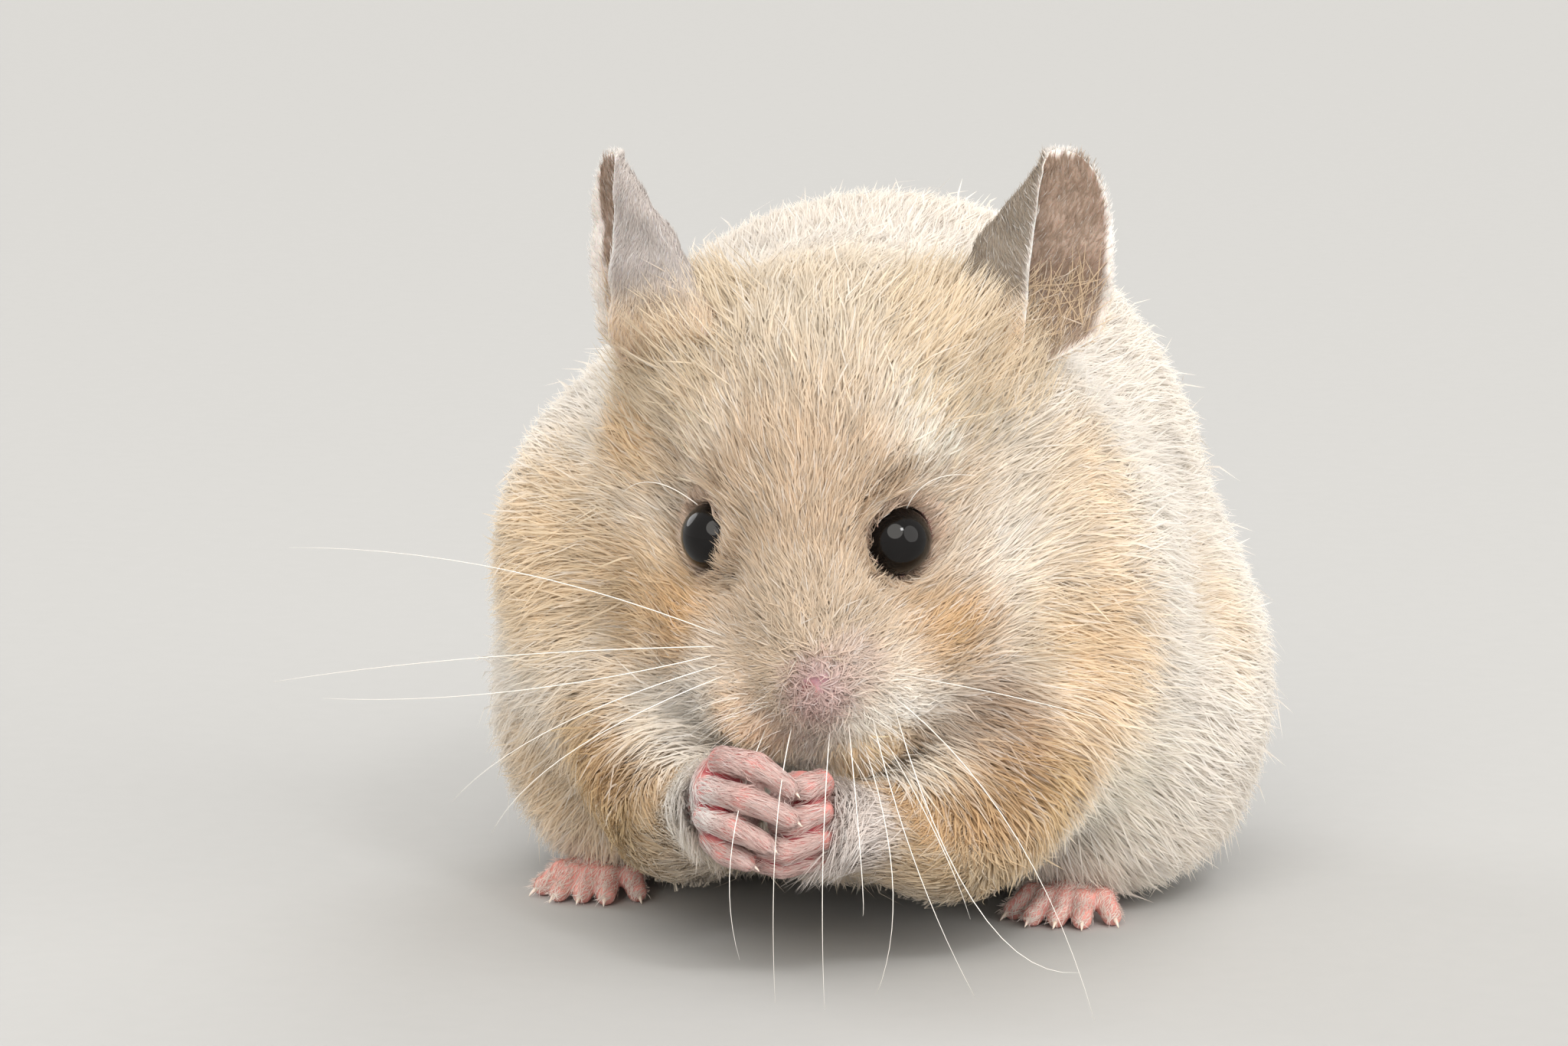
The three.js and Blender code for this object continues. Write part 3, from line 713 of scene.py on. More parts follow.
def earColour(share, side):
    t, up, outward = share.T
    inner = smooth(-outward, -0.1, 0.3)[:, None]
    colour = linear(bare["earOuter"][side]) * (1 - inner) + linear(bare["earInner"]) * inner
    rim = earRim(t, up, side)[:, None] * 0.8
    colour = colour + (linear(bare["earRim"]) - colour) * rim
    foot = (smooth(0.42 - up, 0, 0.3) * smooth(0.8 - t, 0, 0.3))[:, None]
    return colour + (linear(bare["earFoot"]) - colour) * foot * (0.4 + 0.5 * inner)


# Adds a node with its settings; links are named by socket, with _ for a space, or by number.
def node(tree, kind, settings=None, **links):
    made = tree.nodes.new(kind)
    for name, value in (settings or {}).items():
        if hasattr(made, name) and name not in made.inputs:
            setattr(made, name, value)
        else:
            made.inputs[name].default_value = value
    for name, source in links.items():
        key = int(name[1:]) if name[0] == "i" and name[1:].isdigit() else name.replace("_", " ")
        tree.links.new(source, made.inputs[key])
    return made


def material(name):
    made = bpy.data.materials.new(name)
    made.use_nodes = True
    made.node_tree.nodes.clear()
    return made, made.node_tree


def finished(made, tree, shader):
    tree.links.new(shader.outputs[0], node(tree, "ShaderNodeOutputMaterial").inputs["Surface"])
    return made


# A piece's own colours, made uneven by a cloud of the given grain in mm.
def mottled(tree, grain, darkest, palest, detail=2.0):
    attribute = node(tree, "ShaderNodeAttribute", {"attribute_name": "tint"})
    place = node(tree, "ShaderNodeTexCoord")
    cloud = node(tree, "ShaderNodeTexNoise", {"Scale": 1000 / grain, "Detail": detail},
                 Vector=place.outputs["Object"])
    shade = node(tree, "ShaderNodeMapRange",
                 {"From Min": 0.35, "From Max": 0.65, "To Min": darkest, "To Max": palest},
                 Value=cloud.outputs["Fac"])
    colour = node(tree, "ShaderNodeVectorMath", {"operation": "SCALE"},
                  Vector=attribute.outputs["Color"], Scale=shade.outputs["Result"])
    return place, colour.outputs["Vector"]


# Hair keratin: pale and dry, with a faint sheen along it and some light coming through.
def furMaterial():
    made, tree = material("coat of fine hair")
    _, colour = mottled(tree, 4, 0.95, 1.04)   # bands of colour from lock to lock
    keratin = node(tree, "ShaderNodeBsdfPrincipled", {"Roughness": 0.62, "Specular IOR Level": 0.25},
                   Base_Color=colour)
    through = node(tree, "ShaderNodeBsdfTranslucent", Color=colour)
    both = node(tree, "ShaderNodeMixShader", {"Fac": 0.36}, i1=keratin.outputs[0], i2=through.outputs[0])
    return finished(made, tree, both)


# Living skin: soft, slightly moist, fine creases 0.4 mm apart and light spreading under it.
def skinMaterial():
    made, tree = material("living skin")
    place, colour = mottled(tree, 1.1, 0.9, 1.07, 4.0)
    creases = node(tree, "ShaderNodeTexVoronoi", {"feature": "DISTANCE_TO_EDGE", "Scale": 2500.0},
                   Vector=place.outputs["Object"])
    bump = node(tree, "ShaderNodeBump", {"Strength": 0.35, "Distance": 0.00008},
                Height=creases.outputs["Distance"])
    skin = node(tree, "ShaderNodeBsdfPrincipled",
                {"Roughness": 0.5, "Specular IOR Level": 0.4, "Subsurface Weight": 0.3,
                 "Subsurface Radius": (1.0, 0.35, 0.2), "Subsurface Scale": 0.0012},
                Base_Color=colour, Normal=bump.outputs["Normal"])
    return finished(made, tree, skin)


# A plain procedural finish: two colours through a fine cloud of the given grain in mm.
def grainMaterial(name, first, second, grain, settings):
    made, tree = material(name)
    place = node(tree, "ShaderNodeTexCoord")
    cloud = node(tree, "ShaderNodeTexNoise", {"Scale": 1000 / grain, "Detail": 3.0},
                 Vector=place.outputs["Object"])
    ramp = node(tree, "ShaderNodeValToRGB", Fac=cloud.outputs["Fac"])
    ramp.color_ramp.elements[0].color = (*linear(first), 1)
    ramp.color_ramp.elements[1].color = (*linear(second), 1)
    return finished(made, tree, node(tree, "ShaderNodeBsdfPrincipled", settings,
                                     Base_Color=ramp.outputs["Color"]))


materials = {
    "fur": furMaterial(),
    "skin": skinMaterial(),
    # tear film over a black iris: glass smooth, with a trace of brown deep inside
    "eye": grainMaterial("wet cornea", "#040303", "#0b0808", 2,
                         {"Roughness": 0.03, "IOR": 1.36}),
    # claw keratin: thin translucent ivory, polished by use
    "horn": grainMaterial("claw horn", "#e8cfbd", "#f6ebe0", 0.6,
                          {"Roughness": 0.32, "Subsurface Weight": 0.2, "Subsurface Scale": 0.0005}),
    # one stiff white hair, glossier than the coat
    "whisker": grainMaterial("whisker shaft", "#f4ede3", "#fffdf8", 8, {"Roughness": 0.35}),
    # matt paper, so that nothing on the ground draws the eye
    "paper": grainMaterial("matt studio paper", "#b0b0af", "#b3b3b2", 3,
                           {"Roughness": 0.95, "Specular IOR Level": 0.05}),
}


# Faces have four corners each; a triangle repeats its first or last one.
def piece(name, points, faces, look, slot, tint=None, patches=None, normals=None):
    mesh = bpy.data.meshes.new(name)
    points = (np.asarray(points, float) + shift) / 1000
    triangle = (faces[:, 0] == faces[:, 3]) | (faces[:, 2] == faces[:, 3])
    keep = np.ones(faces.shape, bool)
    keep[triangle, 3] = False
    corners = faces[keep]
    starts = np.concatenate([[0], np.cumsum(np.where(triangle, 3, 4))[:-1]])
    mesh.vertices.add(len(points))
    mesh.vertices.foreach_set("co", points.astype(np.float32).ravel())
    mesh.loops.add(len(corners))
    mesh.loops.foreach_set("vertex_index", corners.astype(np.int32))
    mesh.polygons.add(len(faces))
    mesh.polygons.foreach_set("loop_start", starts.astype(np.int32))
    mesh.update(calc_edges=True)
    mesh.polygons.foreach_set("use_smooth", np.ones(len(faces), bool))
    if tint is not None:
        layer = mesh.attributes.new("tint", "FLOAT_COLOR", "POINT")
        colours = np.concatenate([np.clip(tint, 0, 1), np.ones((len(tint), 1))], 1)
        layer.data.foreach_set("color", colours.astype(np.float32).ravel())
    if patches is not None:
        layer = mesh.uv_layers.new(name="OFBake")
        layer.uv.foreach_set("vector", patches[corners].astype(np.float32).ravel())
    if normals is not None:
        layer = mesh.attributes.new("custom_normal", "FLOAT_VECTOR", "POINT")
        layer.data.foreach_set("vector", normals.astype(np.float32).ravel())
    mesh.materials.append(materials[look])
    made = bpy.data.objects.new(name, mesh)
    bpy.context.scene.collection.objects.link(made)
    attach(made, "root")
    return made


parts = [(skinPoints, skinQuads, skinColour(skinPoints))]
parts += [(points, faces, earColour(share, side)) for side, (points, faces, share) in earParts.items()]
for points, faces in footMeshes.values():
    parts.append((points, faces, np.tile(linear(bare["foot"]), (len(points), 1))))
firsts = np.cumsum([0] + [len(part[0]) for part in parts])
skinPiece = piece(
    "skin",
    np.concatenate([part[0] for part in parts]),
    np.concatenate([part[1] + first for part, first in zip(parts, firsts)]),
    "skin", "body_fur",
    np.concatenate([part[2] for part in parts]),
)
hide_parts(*[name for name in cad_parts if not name.startswith("eye_")])
report("skin piece")

lie = {
    "throat": (0.5, -36, 34),       # the body's hair runs from here
    "backward": (0, 0.8, -0.4),
    "faceReach": (17, 30),
    "eyeReach": (3.4, 5.4),
    "stray": 0.24,                  # radians that one tuft strays from its neighbours
    "swirls": [                     # slow turns: how far, which way they run, where they begin
        (0.1, (0.31, 0.23, -0.27), 1.3),
        (0.1, (-0.52, 0.66, 0.45), 0),
        (0.08, (1.4, -1.1, 1.7), 0),
    ],
}
noseTip = onHead(head["noseTip"])


# Which way the hair lies: out from the nose over the face and round the eyes, down and back over
# the body, along the arms to the hands. The second value is a slow turn that makes soft locks.
def lieAt(points):
    body = unit(unit(points - np.array(lie["throat"])) + np.array(lie["backward"]))
    far = np.linalg.norm(points - onHead((0, -2, -3)), axis=-1)
    onFace = (1 - smooth(far, *lie["faceReach"]))[:, None]
    way = body * (1 - onFace) + unit(points - noseTip) * onFace
    for place in eyePlaces.values():
        q = points - place
        inward = smooth(-(way * unit(q)).sum(1), -0.4, 0.5)   # only where hair would cross the eye
        near = (0.85 * inward * (1 - smooth(np.linalg.norm(q, axis=1), *lie["eyeReach"])))[:, None]
        way = unit(way) * (1 - near) + unit(q) * near
    for start, end, startRadius, endRadius in forearms:
        near = 1 - smooth(limbLevel(points, start, end, startRadius, endRadius), -0.5, 2.5)[:, None]
        way = way * (1 - near) + unit(np.array(end, float) - np.array(start, float)) * near
    close = np.flatnonzero(nearHands(points))
    for rows in fingers.values():
        for row in rows:
            for a, b in zip(row, row[1:]):
                near = 1 - smooth(limbLevel(points[close], a, b, 1.2, 1.2), 0, 1.2)[:, None]
                way[close] = way[close] * (1 - near) + unit(np.array(b, float) - np.array(a, float)) * near
    swirl = sum(turn * np.sin(points @ np.array(run) + begin) for turn, run, begin in lie["swirls"])
    return unit(way), swirl


def spun(vectors, axes, angles):
    c, s = np.cos(angles)[:, None], np.sin(angles)[:, None]
    dot = (vectors * axes).sum(1, keepdims=True)
    return vectors * c + np.cross(axes, vectors) * s + axes * dot * (1 - c)


def tangent(vectors, normals):
    return unit(vectors - (vectors * normals).sum(1, keepdims=True) * normals)


# Even spots over a mesh, closer where the density is higher.
def scattered(points, quads, densityAt):
    triangles = np.concatenate([quads[:, [0, 1, 2]], quads[:, [0, 2, 3]]])
    a, b, c = (points[triangles[:, k]] for k in range(3))
    cross = np.cross(b - a, c - a)
    share = np.cumsum(np.linalg.norm(cross, axis=1) / 2 * densityAt((a + b + c) / 3))
    count = int(share[-1])
    picks = np.searchsorted(share, (np.arange(count) + draw.random(count)) / count * share[-1])
    picks = np.minimum(picks, len(triangles) - 1)
    u, v = draw.random((2, count))
    fold = u + v > 1
    u[fold], v[fold] = 1 - u[fold], 1 - v[fold]
    spots = a[picks] + u[:, None] * (b - a)[picks] + v[:, None] * (c - a)[picks]
    return spots, unit(cross[picks]), triangles[picks]


# How far along, how high and how broad a tuft is at its root, bend and tip.
rings = {"along": (0, 0.48, 1), "high": (0, 0.78, 1), "broad": (0.8, 1, 0)}
tuft = {
    "wisps": 0.025,                 # share of tufts that stand proud
    "wispHigh": (1.1, 1.45),
    "locks": 6,                     # tufts to a lock
    "pull": (0.05, 0.38),            # how far tips gather to the middle of their lock
    "roll": 0.35,                   # radians that a tuft turns on its own length
    "edgeOn": 0.2,                  # share of tufts turned any way at all
    "crossing": 0.03,               # share of tufts left to cross an eye or the mouth
    "cut": 0.55,                    # length kept of a tuft that is cut short
    "patch": 0.003,                 # side of a tuft's patch on the unwrap
    "white": 0.22,                  # share of tufts with pale tips
    "floor": 0.03,                  # lowest that hair and claws may hang
    "mostTriangles": 195000,        # in one piece
}


# Centre lines of tufts that rise from the skin and bend over to lie along it.
def combed(roots, values):
    count = len(roots)
    high = values[:, 0] * draw.normal(0.86, 0.15, count).clip(0.4, 1.2)
    wisp = draw.random(count) < tuft["wisps"]
    high = np.where(wisp, high * draw.uniform(*tuft["wispHigh"], count), high)
    long = values[:, 1] * draw.normal(1, 0.16, count).clip(0.5, 1.5)
    onMuzzle = 1 - smooth(np.linalg.norm(roots - noseTip, axis=1), 4, 12)
    onNose = 1 - smooth(np.linalg.norm(roots - noseTip, axis=1), 1.5, 5)
    yaw = draw.normal(0, 1, count) * lie["stray"] * (1 + onMuzzle + 1.5 * onNose)
    path, place = [roots], roots
    for k in (1, 2):
        _, normal = aboveSkin(place)
        way, swirl = lieAt(place)
        step = spun(tangent(way, normal), normal, yaw + swirl)
        place = place + step * (long * (rings["along"][k] - rings["along"][k - 1]))[:, None]
        level, normal = aboveSkin(place)
        place = place + normal * (high * rings["high"][k] - level)[:, None]
        place[:, 2] = np.maximum(place[:, 2], 0.12)
        path.append(place)
    return np.stack(path, 1)


# Tips gather to the middle of their lock.
def gathered(path):
    leaders = np.arange(0, len(path), tuft["locks"])
    tree = kdtree.KDTree(len(leaders))
    for i, k in enumerate(leaders):
        tree.insert(path[k, 0], i)
    tree.balance()
    nearest = leaders[[tree.find(root)[1] for root in path[:, 0]]]
    share = np.array(rings["along"]) ** 1.5
    pull = draw.uniform(*tuft["pull"], len(path))[:, None] * share
    return path + (path[nearest] - path) * pull[..., None]


# An unwrap of the skin about the piece's middle: the bearing from the body's core, laid flat.
def unwrapped(roots):
    outward = unit(roots - np.array((0, 8.0, 30)))
    middle = unit(outward.mean(0))
    side = unit(np.cross(middle, (0.13, 0.21, 0.97)))
    over = np.cross(side, middle)
    x, y, z = outward @ side, outward @ over, outward @ middle
    angle = np.arccos(np.clip(z, -1, 1)) / np.maximum(np.hypot(x, y), 1e-6)
    flat = np.stack([x * angle, y * angle], 1)
    low, high = flat.min(0), flat.max(0)
    return 0.01 + 0.975 * (flat - low) / (high - low)


def tuftPiece(name, path, normals, widths, colours, slot="body_fur"):
    count = len(path)
    along = unit(path[:, -1] - path[:, 0])
    roll = draw.normal(0, tuft["roll"], count)
    roll = np.where(draw.random(count) < tuft["edgeOn"], draw.uniform(-1.5, 1.5, count), roll)
    side = spun(unit(np.cross(along, normals)), along, roll)
    root = unwrapped(path[:, 0])
    points, patches = [], []
    for k in (0, 1):
        half = side * (widths * rings["broad"][k] / 2)[:, None]
        up = tuft["patch"] * rings["along"][k]
        points += [path[:, k] - half, path[:, k] + half]
        patches += [root + (0, up), root + (tuft["patch"], up)]
    points.append(path[:, 2])
    patches.append(root + (tuft["patch"] / 2, tuft["patch"]))
    points = np.stack(points, 1)
    points[..., 2] = np.maximum(points[..., 2], tuft["floor"])
    start = np.arange(count)[:, None] * 5
    faces = np.stack([start + (0, 1, 3, 2), start + (2, 3, 4, 4)], 1).reshape(-1, 4)
    # shading follows the coat as a whole more than each thin strip
    strip = np.cross(side, along)
    strip = strip * np.sign((strip * normals).sum(1, keepdims=True) + 1e-9)
    soft = np.repeat(unit(normals * 0.75 + strip * 0.4)[:, None], 5, axis=1)
    tint = np.repeat(colours, (2, 2, 1), axis=1)
    report(f"{name}: {count} tufts, {count * 3} triangles")
    return piece(name, points.reshape(-1, 3), faces, "fur", slot, tint.reshape(-1, 3),
                 np.stack(patches, 1).reshape(-1, 2), soft.reshape(-1, 3))


# Darker towards the root as painted shade of the coat's depth, paler and drier towards the tip, with some
# tufts nearly white.
def tuftColours(roots, base=None):
    count = len(roots)
    colour = coatColour(roots) if base is None else base
    along = np.array(rings["along"])[None, :, None]
    onFace = 1 - smooth(np.linalg.norm(roots - onHead((0, 2, -3)), axis=1), 14, 26)
    tone = 1 + (draw.normal(0, 1, count) * (0.05 + 0.06 * onFace))[:, None, None]
    white = (draw.random(count) < tuft["white"])[:, None, None] * draw.random(count)[:, None, None] * 0.8
    # the root end is darker as painted shade of the coat's depth
    made = colour[:, None, :] * tone * (0.8 + 0.26 * along)
    return made + (0.95 - made) * white * along


roots, rootNormals, _ = scattered(skinPoints, skinQuads, lambda p: coatAt(p)[:, 3])
values = coatAt(roots)
keep = (roots[:, 2] > 0.4) & (creaseAt(roots) < 0.35)
for side in eyePlaces:
    q, out, ring = aroundEye(roots, side)
    keep &= ~((np.linalg.norm(q, axis=1) < 3.8) & (ring < 3.36) & (out > -1))
keep &= grooveLevel(roots, face["mouth"], face["mouthRadius"]) > 0.2
for row in face["nostrils"]:
    keep &= grooveLevel(roots, row, face["nostrilRadius"]) > 0.12
roots, rootNormals, values = roots[keep], rootNormals[keep], values[keep]
report(f"{len(roots)} roots")

path = gathered(combed(roots, values))
fringe = {"left": 0.2, "right": 0.35}   # how far in hair from the nose hangs over an eye
for _ in range(3):   # hair that would cross an eye or the mouth is cut short
    middles = np.stack([path[:, 1], path[:, 1:].mean(1), path[:, 2]], 1)
    covering = grooveLevel(middles.reshape(-1, 3), face["mouth"], 0.9).reshape(-1, 3).min(1) < 0
    for side in eyePlaces:
        q, out, ring = aroundEye(middles, side)
        noseward = smooth(unit(q) @ unit(noseTip - eyePlaces[side]), -0.1, 0.5)
        covering |= ((out > 0.2) & (ring < 3.15 - fringe[side] * noseward) & (out < 9)).any(1)
    covering &= draw.random(len(path)) > tuft["crossing"]
    path[covering, 1:] = path[covering, :1] + (path[covering, 1:] - path[covering, :1]) * tuft["cut"]
path, rootNormals, values = path[~covering], rootNormals[~covering], values[~covering]
widths = values[:, 2] * draw.normal(1, 0.18, len(path)).clip(0.5, 1.5)
colours = tuftColours(path[:, 0])
report("tufts combed")

# Pieces under the limit, split by bearing round the body.
pieceCount = math.ceil(len(path) * 3 / tuft["mostTriangles"])
order = np.argsort(np.arctan2(path[:, 0, 0], -path[:, 0, 1] - 5))
for k, part in enumerate(np.array_split(order, pieceCount)):
    tuftPiece(f"coat_{k + 1}", path[part], rootNormals[part], widths[part], colours[part])


# Tufts on thin parts, where height and lie come straight from the surface.
def simpleTufts(spots, normals, way, length, height, stray=0.22):
    count = len(spots)
    along = spun(tangent(way, normals), normals, draw.normal(0, stray, count))
    long = length * draw.normal(1, 0.2, count).clip(0.4, 1.7)
    high = height * draw.normal(1, 0.3, count).clip(0.2, 2)
    return np.stack([
        spots + along * (long * a)[:, None] + normals * (high * h)[:, None]
        for a, h in zip(rings["along"], rings["high"])
    ], 1)


earHair = {
    "density": 24, "width": 0.08, "inner": "#a89280", "rim": "#f6f2ee", "foot": "#f0dcc2",
    # hair on each ear's outer side: painted darker on the left ear and paler on the right as painted shade
    # and light
    "outer": {"left": "#a39687", "right": "#cec6c1"},
    # wisps inside the scoop, and long tufts that rise from the head over the ear's foot
    "wisps": 420, "wispLength": 3.8, "wispWidth": 0.095, "wispColour": "#d9c2a5",
    "wispHeight": 0.9, "wispStray": 0.5,
    "base": (-7.5, -6.5, -18.5), "reach": (4, 12.5), "baseDensity": 16, "baseLength": (4.5, 8),
    "baseWidth": 0.14, "baseStray": 0.24, "baseColour": "#e9d9c1",
}
for side in ("left", "right"):
    points, faces, share = earParts[side]
    sign = 1 if side == "left" else -1
    tip = np.array(ears["tip"][side])
    spots, normals, corners = scattered(points, faces, lambda p: np.full(len(p), earHair["density"]))
    t, up, outward = share[corners].mean(1).T
    rim = earRim(t, up, side)
    inner = smooth(-outward, -0.1, 0.3)
    keep = draw.random(len(spots)) < 1 - 0.6 * inner * smooth(up, 0.3, 0.5)
    edgewards = np.array((sign * 1.0, 0, 0)) * (2 * t - 1)[:, None]
    foot = (1 - smooth(up, 0.12, 0.45)) * (1 - 0.8 * inner * smooth(t, 0.55, 0.8))
    path = simpleTufts(spots, normals, unit(tip - spots + (0, 0, 4.0)) + edgewards * 0.8,
                       1.1 - 0.45 * rim + 0.5 * foot, 0.16 + 0.12 * rim + 0.2 * foot)
    base = linear(earHair["outer"][side]) * (1 - inner[:, None]) + linear(earHair["inner"]) * inner[:, None]
    base = base + (linear(earHair["rim"]) - base) * rim[:, None]
    base = base + (linear(earHair["foot"]) - base) * foot[:, None]

    scoop = np.flatnonzero((up > 0.08) & (up < 0.4) & (outward < -0.3))
    scoop = draw.choice(scoop, earHair["wisps"])
    wisps = simpleTufts(spots[scoop], normals[scoop], tip - spots[scoop] + (sign * 5, -3, 0),
                        earHair["wispLength"], earHair["wispHeight"], earHair["wispStray"])
    wispColour = np.tile(linear(earHair["wispColour"]), (len(scoop), 1))

    baseAt = tip + np.array(earHair["base"]) * (sign, 1, 1)

    def baseDensity(places):
        far = np.linalg.norm(places - baseAt, axis=1)
        return earHair["baseDensity"] * (1 - smooth(far, *earHair["reach"]))

    rises, risesNormal, _ = scattered(skinPoints, skinQuads, baseDensity)
    count = len(rises)
    long = draw.uniform(*earHair["baseLength"], count)[:, None]
    way = unit(tip - rises) + risesNormal * 0.4 + np.array((sign * 0.1, -0.2, 0))
    way = unit(way + draw.normal(0, earHair["baseStray"], (count, 3)))
    fan = np.stack([rises, rises + way * long * 0.5 + risesNormal * 0.7, rises + way * long], 1)
    fanColour = np.tile(linear(earHair["baseColour"]), (count, 1))
    tuftPiece(
        f"ear_hair_{side}",
        np.concatenate([path[keep], wisps, fan]),
        np.concatenate([normals[keep], normals[scoop], risesNormal]),
        np.concatenate([
            np.full(keep.sum(), earHair["width"]),
            np.full(len(scoop), earHair["wispWidth"]),
            np.full(count, earHair["baseWidth"]),
        ]),
        np.concatenate([
            tuftColours(spots, base)[keep],
            tuftColours(spots[scoop], wispColour),
            tuftColours(rises, fanColour),
        ]),
        "ear_skin",
    )

    points, faces = footMeshes[side]
    spots, normals, _ = scattered(points, faces, lambda p: np.full(len(p), feet["hairDensity"]))
    keep = (normals[:, 2] > -0.2) & (spots[:, 2] > 0.8)
    spots, normals = spots[keep], normals[keep]
    forward = footParts(side)[3]
    path = simpleTufts(spots, normals, np.tile(forward, (len(spots), 1)),
                       feet["hairLength"], feet["hairHeight"])
    colours = tuftColours(spots, np.tile(linear(feet["hairColour"]), (len(spots), 1)))
    widths = np.full(len(spots), feet["hairWidth"])
    tuftPiece(f"foot_hair_{side}", path, normals, widths, colours, "paw_skin")


def ballMesh(centre, radius, columns=64, rows=40):
    up = np.linspace(0, math.pi, rows + 2)[1:-1]
    angle = np.linspace(0, 2 * math.pi, columns, endpoint=False)
    up, angle = np.meshgrid(up, angle, indexing="ij")
    ring = np.stack([np.sin(up) * np.cos(angle), np.sin(up) * np.sin(angle), np.cos(up)], -1)
    points = np.concatenate([ring.reshape(-1, 3), [(0, 0, 1), (0, 0, -1)]]) * radius + centre
    a = np.arange(rows * columns).reshape(rows, columns)
    b = np.roll(a, -1, axis=1)
    top, bottom = (np.full(columns, rows * columns + k) for k in (0, 1))
    faces = np.concatenate([
        np.stack([a[:-1], a[1:], b[1:], b[:-1]], -1).reshape(-1, 4),
        np.stack([a[0], b[0], top, top], 1),
        np.stack([b[-1], a[-1], bottom, bottom], 1),
    ])
    return points, faces


for side in ("left", "right"):
    points, faces = ballMesh(eyePlaces[side], head["eyeRadius"])
    eye = piece(f"eye_{side}_cornea", points, faces, "eye", "eye")
    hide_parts(f"eye_{side}")


# Round tapering rods along rows of points, closed at both ends.
def rods(rows, radii, sides=6):
    allPoints, allFaces, base = [], [], 0
    for row, radius in zip(rows, radii):
        along = unit(np.gradient(row, axis=0))
        side = unit(np.cross(along, (0.21, 0.37, 0.9)))
        over = np.cross(side, along)
        angle = np.linspace(0, 2 * math.pi, sides, endpoint=False)
        ring = side[:, None] * np.cos(angle)[None, :, None] + over[:, None] * np.sin(angle)[None, :, None]
        points = row[:, None] + ring * radius[:, None, None]
        a = np.arange(len(row) * sides).reshape(len(row), sides) + base
        b = np.roll(a, -1, axis=1)
        first, last = (np.full(sides, base + len(row) * sides + k) for k in (0, 1))
        allPoints += [points.reshape(-1, 3), row[:1], row[-1:]]
        allFaces += [
            np.stack([a[:-1], a[1:], b[1:], b[:-1]], -1).reshape(-1, 4),
            np.stack([a[0], b[0], first, first], 1),
            np.stack([b[-1], a[-1], last, last], 1),
        ]
        base += len(row) * sides + 2
    points = np.concatenate(allPoints)
    points[:, 2] = np.maximum(points[:, 2], tuft["floor"])
    return points, np.concatenate(allFaces)


claw = {
    "length": 1.7, "radius": 0.36, "drop": 0.55, "rings": 7,
    "sunk": 0.35,                        # how far it starts inside the toe
    "pointRadius": 0.03,
    "fingers": {"past": 0.8, "size": 0.55, "outward": (0, -0.6, 0.3)},
    "toes": {"past": 0.75, "size": 0.85, "outward": (0, 0, 0.6)},
}


def clawRow(tip, along, kind):
    size = claw[kind]["size"]
    s = np.linspace(0, 1, claw["rings"])[:, None]
    start = tip + along * claw[kind]["past"]
    row = start + along * (s * claw["length"] * size - claw["sunk"])
    row = row + np.array(claw[kind]["outward"]) * 0.12 * (1 - s)
    row = row + np.array((0, 0, -claw["drop"])) * s ** 2 * size
    return row, claw["radius"] * size * (1 - s[:, 0]) ** 0.7 + claw["pointRadius"]


claws = []
for rows in fingers.values():
    for row in rows:
        along = unit(np.array(row[2], float) - np.array(row[1], float))
        claws.append(clawRow(np.array(row[2]), along, "fingers"))
for side in ("left", "right"):
    for start, middle, tip in footParts(side)[2]:
        along = unit((tip - middle) * (1, 1, 0.4))
        claws.append(clawRow(tip, along, "toes"))
piece("claws", *rods(*zip(*claws)), "horn", "paw_skin")

# Each whisker's root on the head, then where it passes and ends on the body's own axes.
whiskers = {
    "radius": 0.055,
    "tip": 0.014,
    "long": [
        ((-7.8, 7.4, -6.5), (-28, -43, 39), (-50.4, -38, 39.5)),
        ((-8.4, 7.9, -7.5), (-30, -44, 30.5), (-51, -42, 27)),
        ((-8.7, 8.3, -8.3), (-27, -45, 27.5), (-46, -42, 25.6)),
        ((-8.0, 9.2, -8.8), (-22, -47, 24.5), (-32.7, -44, 16.4)),
        ((-7.4, 9.8, -9.6), (-20, -48, 22.5), (-28.3, -46, 13.9)),
        ((8.6, 11.1, -9.6), (23.4, -55, 18.6), (31.6, -56, 0.9)),
        ((9.4, 11.2, -12), (20.8, -56, 10.8), (29.4, -52, 4.5)),
        ((8.4, 11.9, -15), (16.9, -56, 17.3), (19.9, -56, 10)),
        ((6.4, 12.5, -15.2), (12.6, -56, 13), (11.4, -57.5, 2.8)),
        ((5.3, 13.5, -12), (9.8, -57, 15.2), (10.4, -59, 10.5)),
        ((7.4, 12.4, -12), (15, -57, 15), (20.5, -57, 3)),
        ((3.4, 13.6, -13), (6.2, -57, 14), (6.6, -58, 1.2)),
        ((-0.4, 12.6, -13), (1.4, -55.5, 16), (1.7, -57, 1.4)),
        ((-3.2, 12.2, -14), (-3, -54.5, 15), (-2, -55.5, 5)),
        ((9.6, 10.4, -8.2), (22, -50, 30), (32, -46, 27)),
        ((-10.9, -1.1, 2.6), (-14.4, -36.8, 46.8), (-18, -35, 45.4)),    # brow
        ((9.4, -1.1, 3), (13, -38.8, 48.2), (17, -38, 48.6)),
    ],
    "short": 70,
    "shortLength": (3, 8),
    "shortRadius": 0.5,          # as a share of a long one's
    "rings": 14,
    "sides": 5,
}


def arc(root, past, tip):
    t = np.linspace(0, 1, whiskers["rings"])[:, None]
    root, past, tip = (np.array(p, float) for p in (root, past, tip))
    bend = 2 * past - (root + tip) / 2
    return (1 - t) ** 2 * root + 2 * t * (1 - t) * bend + t ** 2 * tip


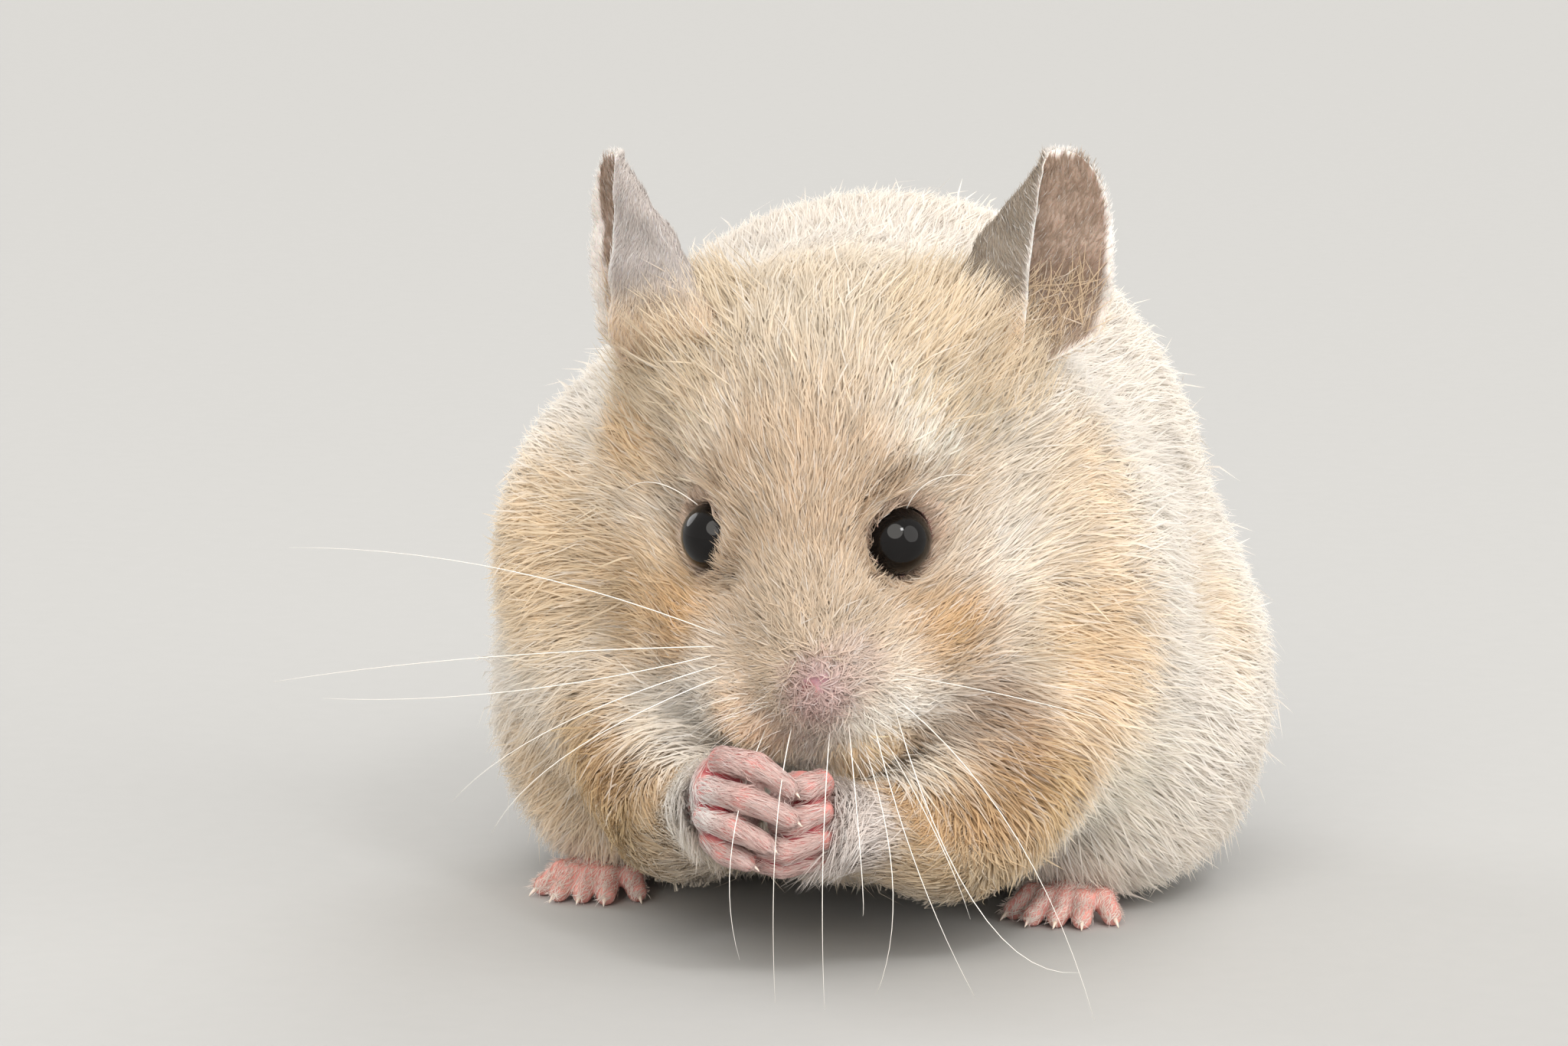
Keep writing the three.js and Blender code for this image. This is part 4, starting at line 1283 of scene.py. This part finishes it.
shafts = [arc(onHead(root), past, tip) for root, past, tip in whiskers["long"]]
for k in range(whiskers["short"]):
    sign = 1 if k % 2 else -1
    root = onHead((1 + sign * draw.uniform(2.5, 7), draw.uniform(10.5, 12.5), draw.uniform(-17, -10)))
    way = unit(unit(root - noseTip) * 1.2 + np.array((sign * 0.4, -0.5, -0.35)) + draw.normal(0, 0.15, 3))
    tip = root + way * draw.uniform(*whiskers["shortLength"])
    shafts.append(arc(root, (root + tip) / 2 + (0, -0.4, 0.4), tip))
left = 1 - np.linspace(0, 1, whiskers["rings"])
taper = whiskers["tip"] + (whiskers["radius"] - whiskers["tip"]) * left ** 0.8
longOnes = len(whiskers["long"])
radii = [taper * (1 if k < longOnes else whiskers["shortRadius"]) for k in range(len(shafts))]
piece("whiskers", *rods(shafts, radii, whiskers["sides"]), "whisker", "face_fur")
report("eyes, claws and whiskers")

floorMesh = bpy.data.meshes.new("floor")
floorMesh.from_pydata([(-9, -9, 0), (9, -9, 0), (9, 9, 0), (-9, 9, 0)], [], [(0, 1, 2, 3)])
floorMesh.materials.append(materials["paper"])
floor = bpy.data.objects.new("floor", floorMesh)
bpy.context.scene.collection.objects.link(floor)
floor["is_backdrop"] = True

# Broad skylights that fall evenly over the floor: where from, degrees across, strength, colour.
skylights = {
    "key": ((0.1, -0.95, 0.75), 50, 1.95, "#fffbf4"),
    "fill": ((0.95, -0.42, 0.45), 50, 1.0, "#fffcf8"),
    "back": ((0.2, 0.9, 0.6), 30, 0.9, "#ffffff"),
    "side": ((-0.9, 0.4, 0.5), 30, 0.7, "#ffffff"),
}
for name, (place, across, strength, colour) in skylights.items():
    light = bpy.data.lights.new(name, "SUN")
    light.angle, light.energy, light.color = math.radians(across), strength, linear(colour)
    lamp = bpy.data.objects.new(name, light)
    lamp.location = place
    lamp.rotation_euler = Vector(-np.array(place)).to_track_quat("-Z", "Y").to_euler()
    bpy.context.scene.collection.objects.link(lamp)
glint = {"size": 0.15, "strength": 1.7, "place": (0.42, -0.62, 0.72), "aim": (0, -0.03, 0.04)}
window = bpy.data.lights.new("window", "AREA")   # a small window for the glint in the eyes
window.shape, window.size, window.energy = "SQUARE", glint["size"], glint["strength"]
pane = bpy.data.objects.new("window", window)
pane.location = glint["place"]
pane.rotation_euler = (Vector(glint["aim"]) - pane.location).to_track_quat("-Z", "Y").to_euler()
bpy.context.scene.collection.objects.link(pane)

studio = {"colour": "#fffcf8", "strength": 0.82}
world = bpy.data.worlds.new("studio")
bpy.context.scene.world = world
world.use_nodes = True
background = world.node_tree.nodes["Background"].inputs
background["Color"].default_value = (*linear(studio["colour"]), 1)
background["Strength"].default_value = studio["strength"]

camera = {
    "azimuth": 12, "elevation": 9, "distance": 600, "lens": 145.0, "aim": (-1.67, 1.38),
    "film": 36, "clip": (0.02, 30),
}
a, e = math.radians(camera["azimuth"]), math.radians(camera["elevation"])
back = np.array((math.sin(a) * math.cos(e), -math.cos(a) * math.cos(e), math.sin(e)))
right = np.array((math.cos(a), math.sin(a), 0))
over = np.cross(back, right)
target = np.array((0, *head["place"][1:])) + camera["aim"][0] * right + camera["aim"][1] * over
view = bpy.data.cameras.new("camera")
view.lens, view.sensor_width, view.sensor_fit = camera["lens"], camera["film"], "HORIZONTAL"
view.clip_start, view.clip_end = camera["clip"]
viewer = bpy.data.objects.new("camera", view)
turn = np.eye(4)
turn[:3] = np.stack([right, over, back, (target + camera["distance"] * back + shift) / 1000], 1)
viewer.matrix_world = Matrix(turn.tolist())
bpy.context.scene.collection.objects.link(viewer)
bpy.context.scene.camera = viewer
bpy.context.scene.view_settings.view_transform = "Standard"
cycles = bpy.context.scene.cycles
cycles.max_bounces, cycles.diffuse_bounces, cycles.glossy_bounces, cycles.transmission_bounces = 7, 5, 2, 4

seenBox = [list(corner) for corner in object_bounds()]
report(f"boxes {cadBox} {seenBox}")
